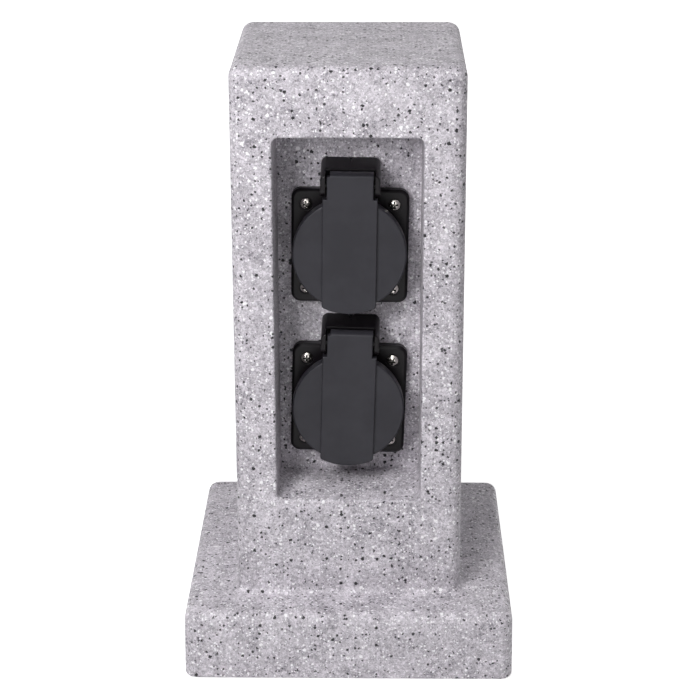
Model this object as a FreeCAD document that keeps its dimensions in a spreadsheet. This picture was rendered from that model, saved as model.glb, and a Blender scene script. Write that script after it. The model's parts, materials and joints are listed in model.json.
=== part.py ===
import FreeCAD, Part
import math
import os
import re
import Sketcher

# Outdoor power outlet: a stone-look pillar on a square base, with two flush sockets
# under spring-closed flip lids in a tall recess. Millimetres, +Z up, +X to the right of
# somebody who faces the sockets, +Y into the pillar. The origin is the middle of the
# face that the pillar stands on.

# Driving dimensions: name, value, what it measures
SIZES = [
    ("total_height", 269.4, "standing face to top of the pillar"),
    ("pillar_top_width", 98.0, "square pillar, width at its top"),
    ("pillar_flare", 1.2, "how much wider the pillar is where it meets the base"),
    ("pillar_corner_radius", 5.8, "upright edges of the pillar"),
    ("pillar_top_radius", 5.0, "edges round the top of the pillar"),
    ("pillar_foot_radius", 3.0, "hollow blend between pillar and base"),
    ("base_width", 145.0, "square base, width at the ground"),
    ("base_draft", 0.8, "how much narrower the base is at its top"),
    ("base_height", 31.6, "height of the base"),
    ("base_corner_radius", 5.6, "upright edges of the base"),
    ("base_top_radius", 4.4, "edges round the top of the base"),
    ("base_foot_radius", 2.0, "edges round the foot of the base"),
    ("shell_wall", 4.5, "wall of the stone-look shell"),
    ("recess_width", 63.0, "opening of the recess, across"),
    ("recess_bottom", 76.5, "lower edge of the recess"),
    ("recess_top", 239.8, "upper edge of the recess"),
    ("recess_depth", 33.0, "pillar face to the panel at the back of the recess"),
    ("recess_draft", 0.3, "how much each side of the recess closes in towards the panel"),
    ("recess_floor_rise", 1.5, "how much the floor of the recess rises towards the panel"),
    ("recess_corner_radius", 2.8, "corners of the recess"),
    ("recess_edge_radius", 1.0, "soft front edge of the recess"),
    ("panel_thickness", 4.0, "panel that carries the sockets"),
    ("plate_thickness", 4.0, "base plate"),
    ("plate_gap", 0.4, "play of the base plate in the shell, each side"),
    ("plate_screw_inset", 9.6, "base plate screws, in from the inside of the shell"),
    ("plate_boss_radius", 5.0, "posts that take the base plate screws"),
    ("plate_screw_radius", 1.75, "base plate screws, shank"),
    ("plate_head_radius", 3.8, "base plate screws, head"),
    ("plate_head_height", 2.2, "base plate screws, head"),
    ("plate_head_sink", 0.3, "base plate screws, head below the standing face"),
    ("plate_screw_length", 16.0, "base plate screws, under the head"),
    ("upper_socket_height", 184.6, "centre of the upper socket above the ground"),
    ("upper_socket_shift", 0.3, "centre of the upper socket, to the right of the middle"),
    ("upper_socket_tilt", 0.8, "upper socket as it was fitted, degrees clockwise"),
    ("lower_socket_height", 113.3, "centre of the lower socket above the ground"),
    ("lower_socket_shift", -0.4, "centre of the lower socket, to the right of the middle"),
    ("lower_socket_tilt", 1.7, "lower socket as it was fitted, degrees clockwise"),
    ("gasket_thickness", 1.2, "rubber gasket behind the flange"),
    ("gasket_inset", 0.3, "gasket edge inside the flange edge"),
    ("flange_width", 50.8, "flange of the socket, across"),
    ("flange_height", 51.2, "flange of the socket, upright"),
    ("flange_thickness", 4.0, "flange of the socket"),
    ("flange_corner_radius", 4.2, "corners of the flange"),
    ("flange_bevel", 1.1, "sloped front edge of the flange"),
    ("flange_screw_pitch", 38.0, "flange screws, centre to centre both ways"),
    ("flange_screw_radius", 1.5, "flange screws, shank"),
    ("flange_head_radius", 2.45, "flange screws, head"),
    ("flange_head_height", 1.7, "flange screws, head"),
    ("flange_seat_depth", 0.6, "sunk seat of a flange screw"),
    ("flange_seat_radius", 3.1, "sunk seat of a flange screw"),
    ("flange_boss_radius", 4.0, "posts behind the panel for the flange screws"),
    ("flange_boss_length", 8.0, "posts behind the panel for the flange screws"),
    ("body_radius", 21.6, "round body of the socket, through the panel"),
    ("body_gap", 0.3, "play of the socket body in the panel"),
    ("collar_radius", 21.0, "round collar that the lid closes on"),
    ("collar_reach", 7.5, "collar, in front of the flange"),
    ("collar_edge_radius", 0.4, "rim of the collar"),
    ("well_radius", 19.5, "plug well, inside"),
    ("well_depth", 17.5, "plug well, from the rim of the collar"),
    ("ledge_width", 1.9, "inner ledge that carries the contact insert"),
    ("ledge_thickness", 2.0, "inner ledge that carries the contact insert"),
    ("fit_gap", 0.1, "radial play of a part pushed into another"),
    ("thread_gap", 0.05, "radial play drawn round a thread"),
    ("hole_gap", 0.25, "radial play of a screw in a clearance hole"),
    ("hood_width", 25.5, "hood over the hinge, across"),
    ("hood_top", 38.9, "back edge of the hood's roof above the socket centre"),
    ("hood_slope", 3.4, "how much the roof falls towards the front"),
    ("hood_thickness", 1.0, "roof of the hood"),
    ("roof_setback", 6.8, "middle of the roof, behind the front of the side walls"),
    ("roof_edge_radius", 0.3, "front edge of the roof between the side walls"),
    ("hood_corner_radius", 2.6, "upper corners of the hood"),
    ("hood_edge_radius", 0.6, "soft front edge of the hood"),
    ("hood_overhang", 0.2, "hood in front of the lid"),
    ("cheek_thickness", 2.1, "side walls of the hood"),
    ("cheek_foot", 25.3, "lower end of the side walls above the socket centre"),
    ("notch_width", 2.6, "centre mark in the top of the hood"),
    ("notch_depth", 1.1, "centre mark in the top of the hood"),
    ("hinge_up", 30.4, "hinge axis above the socket centre"),
    ("hinge_setback", 3.4, "hinge axis behind the front of the band"),
    ("knuckle_radius", 5.9, "barrel of the lid round the hinge axis"),
    ("knuckle_inset", 1.3, "left end of the barrel, inside the edge of the arm"),
    ("arm_edge_radius", 1.0, "soft edge where the arm runs into the barrel"),
    ("pin_radius", 1.25, "hinge pin"),
    ("pin_press_gap", 0.02, "hinge pin in the hood, radial"),
    ("pin_running_gap", 0.06, "hinge pin in the knuckles, radial"),
    ("pin_end_wall", 0.8, "closed end of the pin bore"),
    ("pin_end_gap", 0.1, "hinge pin before the closed end of its bore"),
    ("pin_sink", 0.2, "hinge pin inside the side wall that it goes in by"),
    ("lid_radius", 24.6, "round lid"),
    ("lid_thickness", 2.7, "plate of the lid"),
    ("lid_edge_radius", 0.8, "front edge of the lid"),
    ("lid_skirt_wall", 2.2, "skirt round the back of the lid"),
    ("lid_skirt_depth", 2.8, "skirt round the back of the lid"),
    ("band_width", 23.5, "raised band down the lid"),
    ("band_height", 1.5, "raised band, above the lid"),
    ("band_reach", 26.3, "lower end of the band, from the socket centre"),
    ("band_edge_radius", 0.5, "soft edges of the band"),
    ("band_corner_radius", 1.5, "lower corners of the band"),
    ("arm_width", 19.8, "arm of the lid between the side walls of the hood"),
    ("shoulder_gap", 0.4, "between side walls of the hood and shoulders of the band"),
    ("seal_thickness", 1.8, "rubber seal in the lid"),
    ("seal_width", 2.0, "rubber seal in the lid, radial"),
    ("seal_clearance", 0.4, "between seal and skirt of the lid"),
    ("seal_gap", 0.3, "between seal and rim of the collar"),
    ("spring_wire", 0.6, "lid spring, wire"),
    ("spring_radius", 2.2, "lid spring, outside"),
    ("spring_length", 9.0, "lid spring, along the pin"),
    ("spring_leg", 5.0, "lid spring, leg in the barrel of the lid"),
    ("spring_play", 0.15, "between spring and its pocket"),
    ("spring_end_gap", 0.3, "fixed leg of the spring, beside the barrel"),
    ("leg_foot_gap", 0.1, "fixed leg of the spring, before the flange"),
    ("leg_inset", 0.1, "legs of the spring, inside the outside of its turns"),
    ("leg_slot_rise", 0.5, "slot for the lid leg, above the spring pocket"),
    ("floor_thickness", 3.2, "floor of the contact insert"),
    ("tail_length", 15.0, "contact insert behind the ledge"),
    ("cover_gap", 2.0, "between contact insert and rear cover"),
    ("cover_wall", 1.6, "rear cover"),
    ("cover_inset", 0.4, "rear cover inside the socket body"),
    ("contact_offset", 9.5, "plug pins, from the socket centre"),
    ("contact_bore", 2.45, "contact tubes, inside radius"),
    ("contact_wall", 0.85, "contact tubes"),
    ("contact_play", 0.2, "between contacts and contact insert"),
    ("entry_depth", 2.0, "floor in front of the contact tubes"),
    ("entry_gap", 0.3, "pin holes wider than the contact tubes' bore"),
    ("block_length", 8.0, "terminal end of a contact"),
    ("block_width", 8.0, "terminal end of a contact, radial"),
    ("block_side", 8.2, "terminal end of a contact, across"),
    ("wire_radius", 1.3, "insulated wires inside the pillar"),
    ("wire_hole_gap", 0.3, "play of a wire in its hole"),
    ("wire_insertion", 5.0, "wire in a terminal"),
    ("clamp_screw_radius", 1.7, "clamp screws of the contacts, shank"),
    ("clamp_head_radius", 2.8, "clamp screws of the contacts, head"),
    ("clamp_head_height", 2.2, "clamp screws of the contacts, head"),
    ("clamp_screw_setback", 3.0, "clamp screws, from the end of the contact insert"),
    ("strap_thickness", 1.0, "earth bracket"),
    ("strap_width", 6.0, "earth bracket"),
    ("strap_setback", 1.5, "earth bracket, behind the ledge"),
    ("clip_radius", 17.2, "earth clips, outside, from the socket centre"),
    ("clip_reach", 12.5, "earth clips, in front of the well floor"),
    ("clip_bow", 1.2, "earth clips, how far they bow into the well"),
    ("centre_screw_radius", 1.5, "centre screw, shank"),
    ("centre_head_radius", 2.6, "centre screw, head"),
    ("centre_head_height", 1.5, "centre screw, head"),
    ("centre_screw_length", 17.0, "centre screw, under the head"),
    ("cover_post_radius", 3.0, "post in the rear cover for the centre screw"),
    ("terminal_height", 48.0, "middle of the terminal block above the ground"),
    ("terminal_seat", 2.5, "pad on the rear wall under the terminal block"),
    ("terminal_depth", 15.0, "terminal block, off the rear wall"),
    ("terminal_length", 18.0, "terminal block, along the wires"),
    ("terminal_edge", 4.75, "terminal block, outside the outer poles"),
    ("lug_width", 6.2, "fixing lugs of the terminal block"),
    ("lug_height", 10.0, "fixing lugs of the terminal block"),
    ("lug_thickness", 4.0, "fixing lugs of the terminal block"),
    ("lug_screw_radius", 1.5, "screws of the terminal block, shank"),
    ("lug_head_radius", 2.8, "screws of the terminal block, head"),
    ("lug_head_height", 2.0, "screws of the terminal block, head"),
    ("lug_screw_grip", 5.5, "screws of the terminal block, into the rear wall"),
    ("bar_width", 6.4, "brass bars of the terminal block"),
    ("bar_depth", 10.5, "brass bars of the terminal block"),
    ("bar_length", 16.0, "brass bars of the terminal block"),
    ("bar_floor", 1.5, "terminal block behind its brass bars"),
    ("bar_back_wall", 0.8, "brass bars behind their wire slots"),
    ("bar_play", 0.15, "play of the brass bars"),
    ("bar_slot_width", 3.8, "slot for two wires in a brass bar"),
    ("bar_screw_radius", 1.5, "screws of the brass bars, shank"),
    ("bar_head_radius", 2.5, "screws of the brass bars, head"),
    ("bar_head_height", 2.0, "screws of the brass bars, head"),
    ("bar_screw_offset", 5.0, "screws of the brass bars, from the middle"),
    ("wire_pitch", 2.8, "two wires in one slot, centre to centre"),
    ("wire_sag", 1.6, "upper wires, how far they stand off their straight line"),
    ("gland_rise", 0.45, "cable gland above the middle of the space in the base"),
    ("gland_sink", 0.6, "flat seat of the gland in the rear face"),
    ("gland_flats", 20.0, "hexagons of the gland, across flats"),
    ("gland_seat_play", 1.0, "flat seat of the gland, round the hexagon's corners"),
    ("gland_collar", 5.0, "hexagon of the gland body"),
    ("gland_thread_radius", 7.9, "thread through the rear wall"),
    ("gland_tail", 11.0, "gland inside its seat"),
    ("gland_head_radius", 8.6, "thread under the cap nut"),
    ("gland_head_length", 7.0, "thread under the cap nut"),
    ("gland_bore", 5.0, "cable hole of the gland body"),
    ("gland_seal_radius", 7.0, "rubber seal of the gland, outside"),
    ("gland_seal_bore", 4.8, "rubber seal of the gland, inside"),
    ("gland_seal_length", 6.3, "rubber seal of the gland"),
    ("gland_seal_seat", 4.8, "rubber seal of the gland, inside the gland body"),
    ("gland_cap_wall", 2.9, "end of the cap nut"),
    ("gland_cap_gap", 0.4, "between cap nut and hexagon of the gland body"),
    ("gland_cap_bevel", 1.6, "rounded end of the cap nut"),
    ("lock_nut_height", 4.5, "lock nut of the gland"),
    ("lock_nut_gap", 0.58, "corners of the lock nut, inside the height of that space"),
    ("slot_width", 0.9, "screwdriver slots"),
    ("slot_depth", 0.9, "screwdriver slots"),
    ("cross_width", 0.7, "cross-shaped screwdriver recesses"),
    ("tip_gap", 0.5, "screw tips before the end of their holes"),
    ("wire_end_gap", 1.0, "wire ends before the end of their holes"),
]

# Sizes and places that follow from the driving dimensions. Those of a socket are
# measured from its centre on the face of the panel: "out" towards the user, "up" and
# to the right. The overrun is how far a cut runs past the faces that it opens.
DERIVED = [
    ("overrun", "1"),
    ("pillar_foot_width", "pillar_top_width + pillar_flare"),
    ("base_top_width", "base_width - base_draft"),
    ("between_widths", "(pillar_foot_width + base_top_width) / 4"),
    ("panel_face", "recess_depth - (pillar_top_width + pillar_foot_width) / 4"),
    ("panel_back", "panel_face + panel_thickness"),
    ("base_ceiling", "base_height - shell_wall"),
    ("base_inside", "base_top_width / 2 - shell_wall"),
    ("plate_half", "base_inside - plate_gap"),
    ("plate_screw_place", "base_inside - plate_screw_inset"),
    ("plate_seat", "plate_head_sink + plate_head_height"),
    ("flange_back", "gasket_thickness"),
    ("flange_front", "flange_back + flange_thickness"),
    ("flange_half", "flange_width / 2"),
    ("flange_half_height", "flange_height / 2"),
    ("screw_place", "flange_screw_pitch / 2"),
    ("panel_hole_radius", "body_radius + body_gap"),
    ("collar_front", "flange_front + collar_reach"),
    ("well_floor", "collar_front - well_depth"),
    ("ledge_front", "well_floor - floor_thickness"),
    ("ledge_back", "ledge_front - ledge_thickness"),
    ("ledge_radius", "well_radius - ledge_width"),
    ("tail_end", "ledge_back - tail_length"),
    ("tail_radius", "ledge_radius - fit_gap"),
    ("cover_inside", "tail_end - cover_gap"),
    ("cover_outside", "cover_inside - cover_wall"),
    ("cover_radius", "body_radius - cover_inset"),
    ("lid_back", "collar_front + seal_gap + seal_thickness"),
    ("lid_front", "lid_back + lid_thickness"),
    ("lid_inside_radius", "lid_radius - lid_skirt_wall"),
    ("seal_radius", "lid_inside_radius - seal_clearance"),
    ("band_front", "lid_front + band_height"),
    ("band_half", "band_width / 2"),
    ("arm_half", "arm_width / 2"),
    ("hinge_out", "band_front - hinge_setback"),
    ("arm_edge_out", "hinge_setback - arm_edge_radius"),
    ("arm_edge_reach", "knuckle_radius - arm_edge_radius"),
    ("arm_edge_rise", "sqrt(arm_edge_reach * arm_edge_reach - arm_edge_out * arm_edge_out)"),
    ("arm_top", "hinge_up + arm_edge_rise"),
    ("tangent_out", "hinge_out + arm_edge_out * knuckle_radius / arm_edge_reach"),
    ("tangent_up", "hinge_up + arm_edge_rise * knuckle_radius / arm_edge_reach"),
    ("hood_front", "band_front + hood_overhang"),
    ("roof_front", "hood_front - roof_setback"),
    ("roof_fall", "hood_slope / (hood_front - flange_back)"),
    ("ceiling_back", "hood_top - hood_thickness - roof_fall * (flange_front - flange_back)"),
    ("ceiling_front", "hood_top - hood_thickness - roof_fall * (roof_front - flange_back)"),
    ("hood_half", "hood_width / 2"),
    ("cheek_inside", "hood_half - cheek_thickness"),
    ("cheek_drop", "hinge_up - cheek_foot"),
    ("shoulder_up", "cheek_foot - shoulder_gap"),
    ("spring_pocket", "spring_radius + spring_play"),
    ("barrel_left", "knuckle_inset - arm_half"),
    ("spring_left", "barrel_left - spring_end_gap - spring_wire"),
    ("spring_right", "spring_left + spring_length"),
    ("leg_outside", "spring_radius - leg_inset"),
    ("leg_inside", "leg_outside - spring_wire"),
    ("contact_front", "well_floor - entry_depth - contact_play"),
    ("contact_radius", "contact_bore + contact_wall"),
    ("block_front", "tail_end + block_length"),
    ("clamp_out", "tail_end + clamp_screw_setback"),
    ("wire_hole_radius", "wire_radius + wire_hole_gap"),
    ("clamp_tip", "contact_offset + wire_radius + thread_gap"),
    ("clamp_seat", "contact_offset + block_width / 2 + contact_play"),
    ("strap_front", "ledge_back - strap_setback"),
    ("strap_back", "strap_front - strap_thickness"),
    ("strap_slot_half", "block_side / 2 + contact_play"),
    ("strap_slot_front", "strap_front + contact_play"),
    ("clip_tip", "well_floor + clip_reach"),
    ("clip_middle", "well_floor + clip_reach / 2"),
    ("centre_seat", "well_floor - centre_head_height - thread_gap"),
    ("cover_post_front", "strap_back - contact_play"),
    ("terminal_face", "pillar_top_width / 2 - shell_wall - terminal_seat"),
    ("terminal_half", "contact_offset + terminal_edge"),
    ("lug_place", "terminal_half + lug_width / 2"),
    ("bar_front", "bar_floor + bar_depth"),
    ("slot_back", "bar_floor + bar_back_wall"),
    ("rear_wire_out", "slot_back + wire_hole_gap + wire_radius"),
    ("front_wire_out", "rear_wire_out + wire_pitch"),
    ("slot_front", "front_wire_out + wire_radius + wire_hole_gap"),
    ("bar_screw_tip", "slot_front + thread_gap"),
    ("gland_seat", "base_top_width / 2 - gland_sink"),
    ("gland_height", "(plate_thickness + base_ceiling) / 2 + gland_rise"),
    ("gland_corner", "gland_flats / sqrt(3)"),
    ("lock_nut_corner", "(base_ceiling - plate_thickness) / 2 - lock_nut_gap"),
    ("lock_nut_flats", "lock_nut_corner * sqrt(3)"),
    ("gland_wall", "gland_seat - base_inside"),
    ("gland_head_end", "-gland_collar - gland_head_length"),
    ("gland_seal_back", "gland_head_end + gland_seal_seat"),
    ("gland_seal_end", "gland_seal_back - gland_seal_length"),
    ("gland_cap_inside", "gland_seal_end - fit_gap"),
    ("gland_cap_end", "gland_cap_inside - gland_cap_wall"),
    ("gland_cap_front", "-gland_collar - gland_cap_gap"),
]

PLANE_ROLES = {"XY": "XY_Plane", "XZ": "XZ_Plane", "YZ": "YZ_Plane"}
WORD = re.compile(r"[a-z][a-z_]*")

doc = FreeCAD.newDocument("OutdoorOutlet")

# The sheet of sizes and the values that follow from it
sheet = doc.addObject("Spreadsheet::Sheet", "Sizes")
for row, (name, value, meaning) in enumerate(SIZES, start=1):
    sheet.set("A%d" % row, name)
    sheet.set("B%d" % row, str(value))
    sheet.set("C%d" % row, meaning)
    sheet.setAlias("B%d" % row, name)
derived = doc.addObject("App::VarSet", "Derived")
gauge = doc.addObject("App::VarSet", "Gauge")
gauge.addProperty("App::PropertyFloat", "reading")
doc.recompute()

OWNER = {name: "Sizes" for name, value, meaning in SIZES}


def linked(formula):
    """The formula with each named size written as its place in the document."""
    return WORD.sub(lambda word: OWNER[word.group()] + "." + word.group()
                    if word.group() in OWNER else word.group(), str(formula))


for name, formula in DERIVED:
    derived.addProperty("App::PropertyFloat", name)
    derived.setExpression(name, linked(formula))
    OWNER[name] = "Derived"
doc.recompute()


def number(formula):
    """The present value of a formula."""
    gauge.setExpression("reading", linked(formula))
    gauge.recompute()
    return gauge.reading


def new_body(label, place=("0", "0", "0"), turn="0"):
    """A body whose own frame is set at a place and turned clockwise about +Y."""
    body = doc.addObject("PartDesign::Body", label)
    body.Placement = FreeCAD.Placement(FreeCAD.Vector(), FreeCAD.Rotation(FreeCAD.Vector(0, 1, 0), 1))
    for axis, formula in zip("xyz", place):
        body.setExpression("Placement.Base." + axis, linked(formula))
    body.setExpression("Placement.Rotation.Angle", linked(turn))
    return body


def new_sketch(body, name, plane, level, shift=("0", "0"), turn="0"):
    """A sketch on an origin plane, moved to a level along the plane's normal."""
    sketch = body.newObject("Sketcher::SketchObject", name)
    planes = [item for item in body.Origin.OriginFeatures if item.Role == PLANE_ROLES[plane]]
    sketch.AttachmentSupport = [(planes[0], "")]
    sketch.MapMode = "FlatFace"
    sketch.AttachmentOffset = FreeCAD.Placement(
        FreeCAD.Vector(), FreeCAD.Rotation(FreeCAD.Vector(0, 0, 1), 1))
    sketch.setExpression("AttachmentOffset.Base.x", linked(shift[0]))
    sketch.setExpression("AttachmentOffset.Base.y", linked(shift[1]))
    sketch.setExpression("AttachmentOffset.Base.z", linked(level))
    sketch.setExpression("AttachmentOffset.Rotation.Angle", linked(turn))
    return sketch


def bind(sketch, kind, where, formula):
    """A dimension of a sketch that follows a formula."""
    index = sketch.addConstraint(Sketcher.Constraint(kind, *where, number(formula)))
    sketch.setExpression("Constraints[%d]" % index, linked(formula))


def circle(sketch, right, up, radius):
    """A circle about a point of the sketch."""
    centre = FreeCAD.Vector(number(right), number(up), 0)
    index = sketch.addGeometry(Part.Circle(centre, FreeCAD.Vector(0, 0, 1), number(radius)))
    bind(sketch, "DistanceX", (-1, 1, index, 3), right)
    bind(sketch, "DistanceY", (-1, 1, index, 3), up)
    bind(sketch, "Radius", (index,), radius)


def outline(sketch, corners, arcs=None):
    """A closed outline through the corners. arcs gives, for the edge after a corner,
    the radius of an arc and the side of its centre: 1 on the left, -1 on the right."""
    arcs = arcs or {}
    points = [FreeCAD.Vector(number(right), number(up), 0) for right, up in corners]
    first = sketch.GeometryCount
    count = len(points)
    ends = []
    for index, start in enumerate(points):
        end = points[(index + 1) % count]
        if index not in arcs:
            sketch.addGeometry(Part.LineSegment(start, end))
            ends.append((1, 2))
            continue
        radius, side = arcs[index]
        chord = end - start
        height = math.sqrt(max(number(radius) ** 2 - (chord.Length / 2) ** 2, 0.0))
        left = FreeCAD.Vector(-chord.y, chord.x, 0).normalize()
        centre = (start + end) * 0.5 + left * height * side
        angles = [math.atan2((point - centre).y, (point - centre).x) for point in (start, end)]
        if side < 0:
            angles.reverse()
        whole = Part.Circle(centre, FreeCAD.Vector(0, 0, 1), number(radius))
        sketch.addGeometry(Part.ArcOfCircle(whole, angles[0], angles[1]))
        ends.append((1, 2) if side > 0 else (2, 1))
    for index, (right, up) in enumerate(corners):
        after = (index + 1) % count
        sketch.addConstraint(Sketcher.Constraint(
            "Coincident", first + index, ends[index][1], first + after, ends[after][0]))
        bind(sketch, "DistanceX", (-1, 1, first + index, ends[index][0]), right)
        bind(sketch, "DistanceY", (-1, 1, first + index, ends[index][0]), up)
        if index in arcs:
            bind(sketch, "Radius", (first + index,), arcs[index][0])


def rectangle(sketch, left, bottom, right, top, radius=None):
    """A rectangle between four coordinates, with round corners where a radius is given."""
    if radius is None:
        outline(sketch, [(left, bottom), (right, bottom), (right, top), (left, top)])
        return
    west, east = "(%s) + %s" % (left, radius), "(%s) - %s" % (right, radius)
    south, north = "(%s) + %s" % (bottom, radius), "(%s) - %s" % (top, radius)
    corners = [(west, bottom), (east, bottom), (right, south), (right, north),
               (east, top), (west, top), (left, north), (left, south)]
    outline(sketch, corners, {index: (radius, 1) for index in (1, 3, 5, 7)})


def square(sketch, half, radius=None):
    """A square about the middle of the sketch."""
    rectangle(sketch, "-(%s)" % half, "-(%s)" % half, half, half, radius)


def hexagon(sketch, flats):
    """A hexagon about the middle of the sketch, with two flats level."""
    corner, half = "%s / sqrt(3)" % flats, "%s / 2" % flats
    side = "%s / sqrt(3) / 2" % flats
    outline(sketch, [(corner, "0"), (side, half), ("-" + side, half), ("-" + corner, "0"),
                     ("-" + side, "-" + half), (side, "-" + half)])


def four_places(half):
    """The corners of a square pattern."""
    return [(right + half, up + half) for right in ("-", "") for up in ("-", "")]


def slab(body, name, plane, start, end, draw, shift=("0", "0"), turn="0"):
    """Adds what is drawn on a plane, between two levels along its normal."""
    sketch = new_sketch(body, name + "Sketch", plane, start, shift, turn)
    draw(sketch)
    pad = body.newObject("PartDesign::Pad", name)
    pad.Profile = sketch
    pad.setExpression("Length", linked("(%s) - (%s)" % (end, start)))
    sketch.Visibility = False
    return pad


def cut(body, name, plane, start, end, draw, shift=("0", "0"), turn="0"):
    """Takes away what is drawn on a plane, between two levels along its normal."""
    sketch = new_sketch(body, name + "Sketch", plane, end, shift, turn)
    draw(sketch)
    pocket = body.newObject("PartDesign::Pocket", name)
    pocket.Profile = sketch
    pocket.setExpression("Length", linked("(%s) - (%s)" % (end, start)))
    sketch.Visibility = False
    return pocket


def loft(body, kind, name, plane, start, end, draw_start, draw_end):
    """Joins two outlines on parallel levels, added or taken away."""
    sketches = []
    for suffix, level, draw in (("Start", start, draw_start), ("End", end, draw_end)):
        sketch = new_sketch(body, name + suffix, plane, level)
        draw(sketch)
        sketches.append(sketch)
    feature = body.newObject("PartDesign::" + kind, name)
    feature.Profile = sketches[0]
    feature.Sections = [sketches[1]]
    feature.Ruled = True
    return feature


def soften(body, kind, name, size, chosen):
    """Rounds or bevels the edges of the body that the test picks by their points."""
    doc.recompute()
    base = body.Tip
    names = []
    for index, edge in enumerate(base.Shape.Edges, start=1):
        points = [vertex.Point for vertex in edge.Vertexes]
        points.append(edge.valueAt((edge.FirstParameter + edge.LastParameter) / 2))
        if all(chosen(point) for point in points):
            names.append("Edge%d" % index)
    if not names:
        raise RuntimeError("no edge found for " + name)
    feature = body.newObject("PartDesign::" + kind, name)
    feature.Base = (base, names)
    feature.setExpression("Radius" if kind == "Fillet" else "Size", linked(size))
    return feature


def near(value, formula, play=0.02):
    """True where a coordinate is at a named place."""
    return abs(value - number(formula)) < play


def screws(label, place, turn, plane, spots, sizes, recess):
    """A set of equal screws, heads towards the plane's normal: shank, head and recess."""
    tip, seat, top, shank_radius, head_radius = sizes
    body = new_body(label, place, turn)

    def ring_of(radius):
        return lambda sketch: [circle(sketch, right, up, radius) for right, up in spots]

    slab(body, "Shank", plane, tip, seat, ring_of(shank_radius))
    slab(body, "Head", plane, seat, top, ring_of(head_radius))
    cut(body, "Recess", plane, "%s - slot_depth" % top, top,
        lambda sketch: [recess(sketch, right, up, head_radius) for right, up in spots])
    return body


def slot_recess(sketch, right, up, head_radius):
    """A straight screwdriver slot across a head."""
    reach = head_radius + " + overrun"
    rectangle(sketch, "(%s) - (%s)" % (right, reach), "(%s) - slot_width / 2" % up,
              "(%s) + %s" % (right, reach), "(%s) + slot_width / 2" % up)


# How far the arms of a cross recess reach, as a share of the head's radius
CROSS_SHARE = 0.6


def cross_recess(sketch, right, up, head_radius):
    """A cross-shaped screwdriver recess."""
    arm, half = "%s * %s" % (head_radius, CROSS_SHARE), "cross_width / 2"
    steps = [(arm, "-" + half), (arm, half), (half, half), (half, arm), ("-" + half, arm),
             ("-" + half, half), ("-" + arm, half), ("-" + arm, "-" + half),
             ("-" + half, "-" + half), ("-" + half, "-" + arm), (half, "-" + arm),
             (half, "-" + half)]
    outline(sketch, [("(%s) + %s" % (right, x), "(%s) + %s" % (up, y)) for x, y in steps])


SOCKETS = ("upper", "lower")

# The upper wires stand off their straight line: share of the climb, share of the sag
SAG = ((0.4, 1.0), (0.72, 0.5))
# The part of a run between two bends that one bend may take up
BEND_SHARE = 0.45


def socket_place(prefix):
    """Where the centre of a socket sits on the panel."""
    return (prefix + "_socket_shift", "panel_face", prefix + "_socket_height")


def on_panel(prefix):
    """Shift and turn of a sketch on the panel that follows a socket as it was fitted."""
    place = (prefix + "_socket_shift", prefix + "_socket_height")
    return {"shift": place, "turn": "-" + prefix + "_socket_tilt"}


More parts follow.
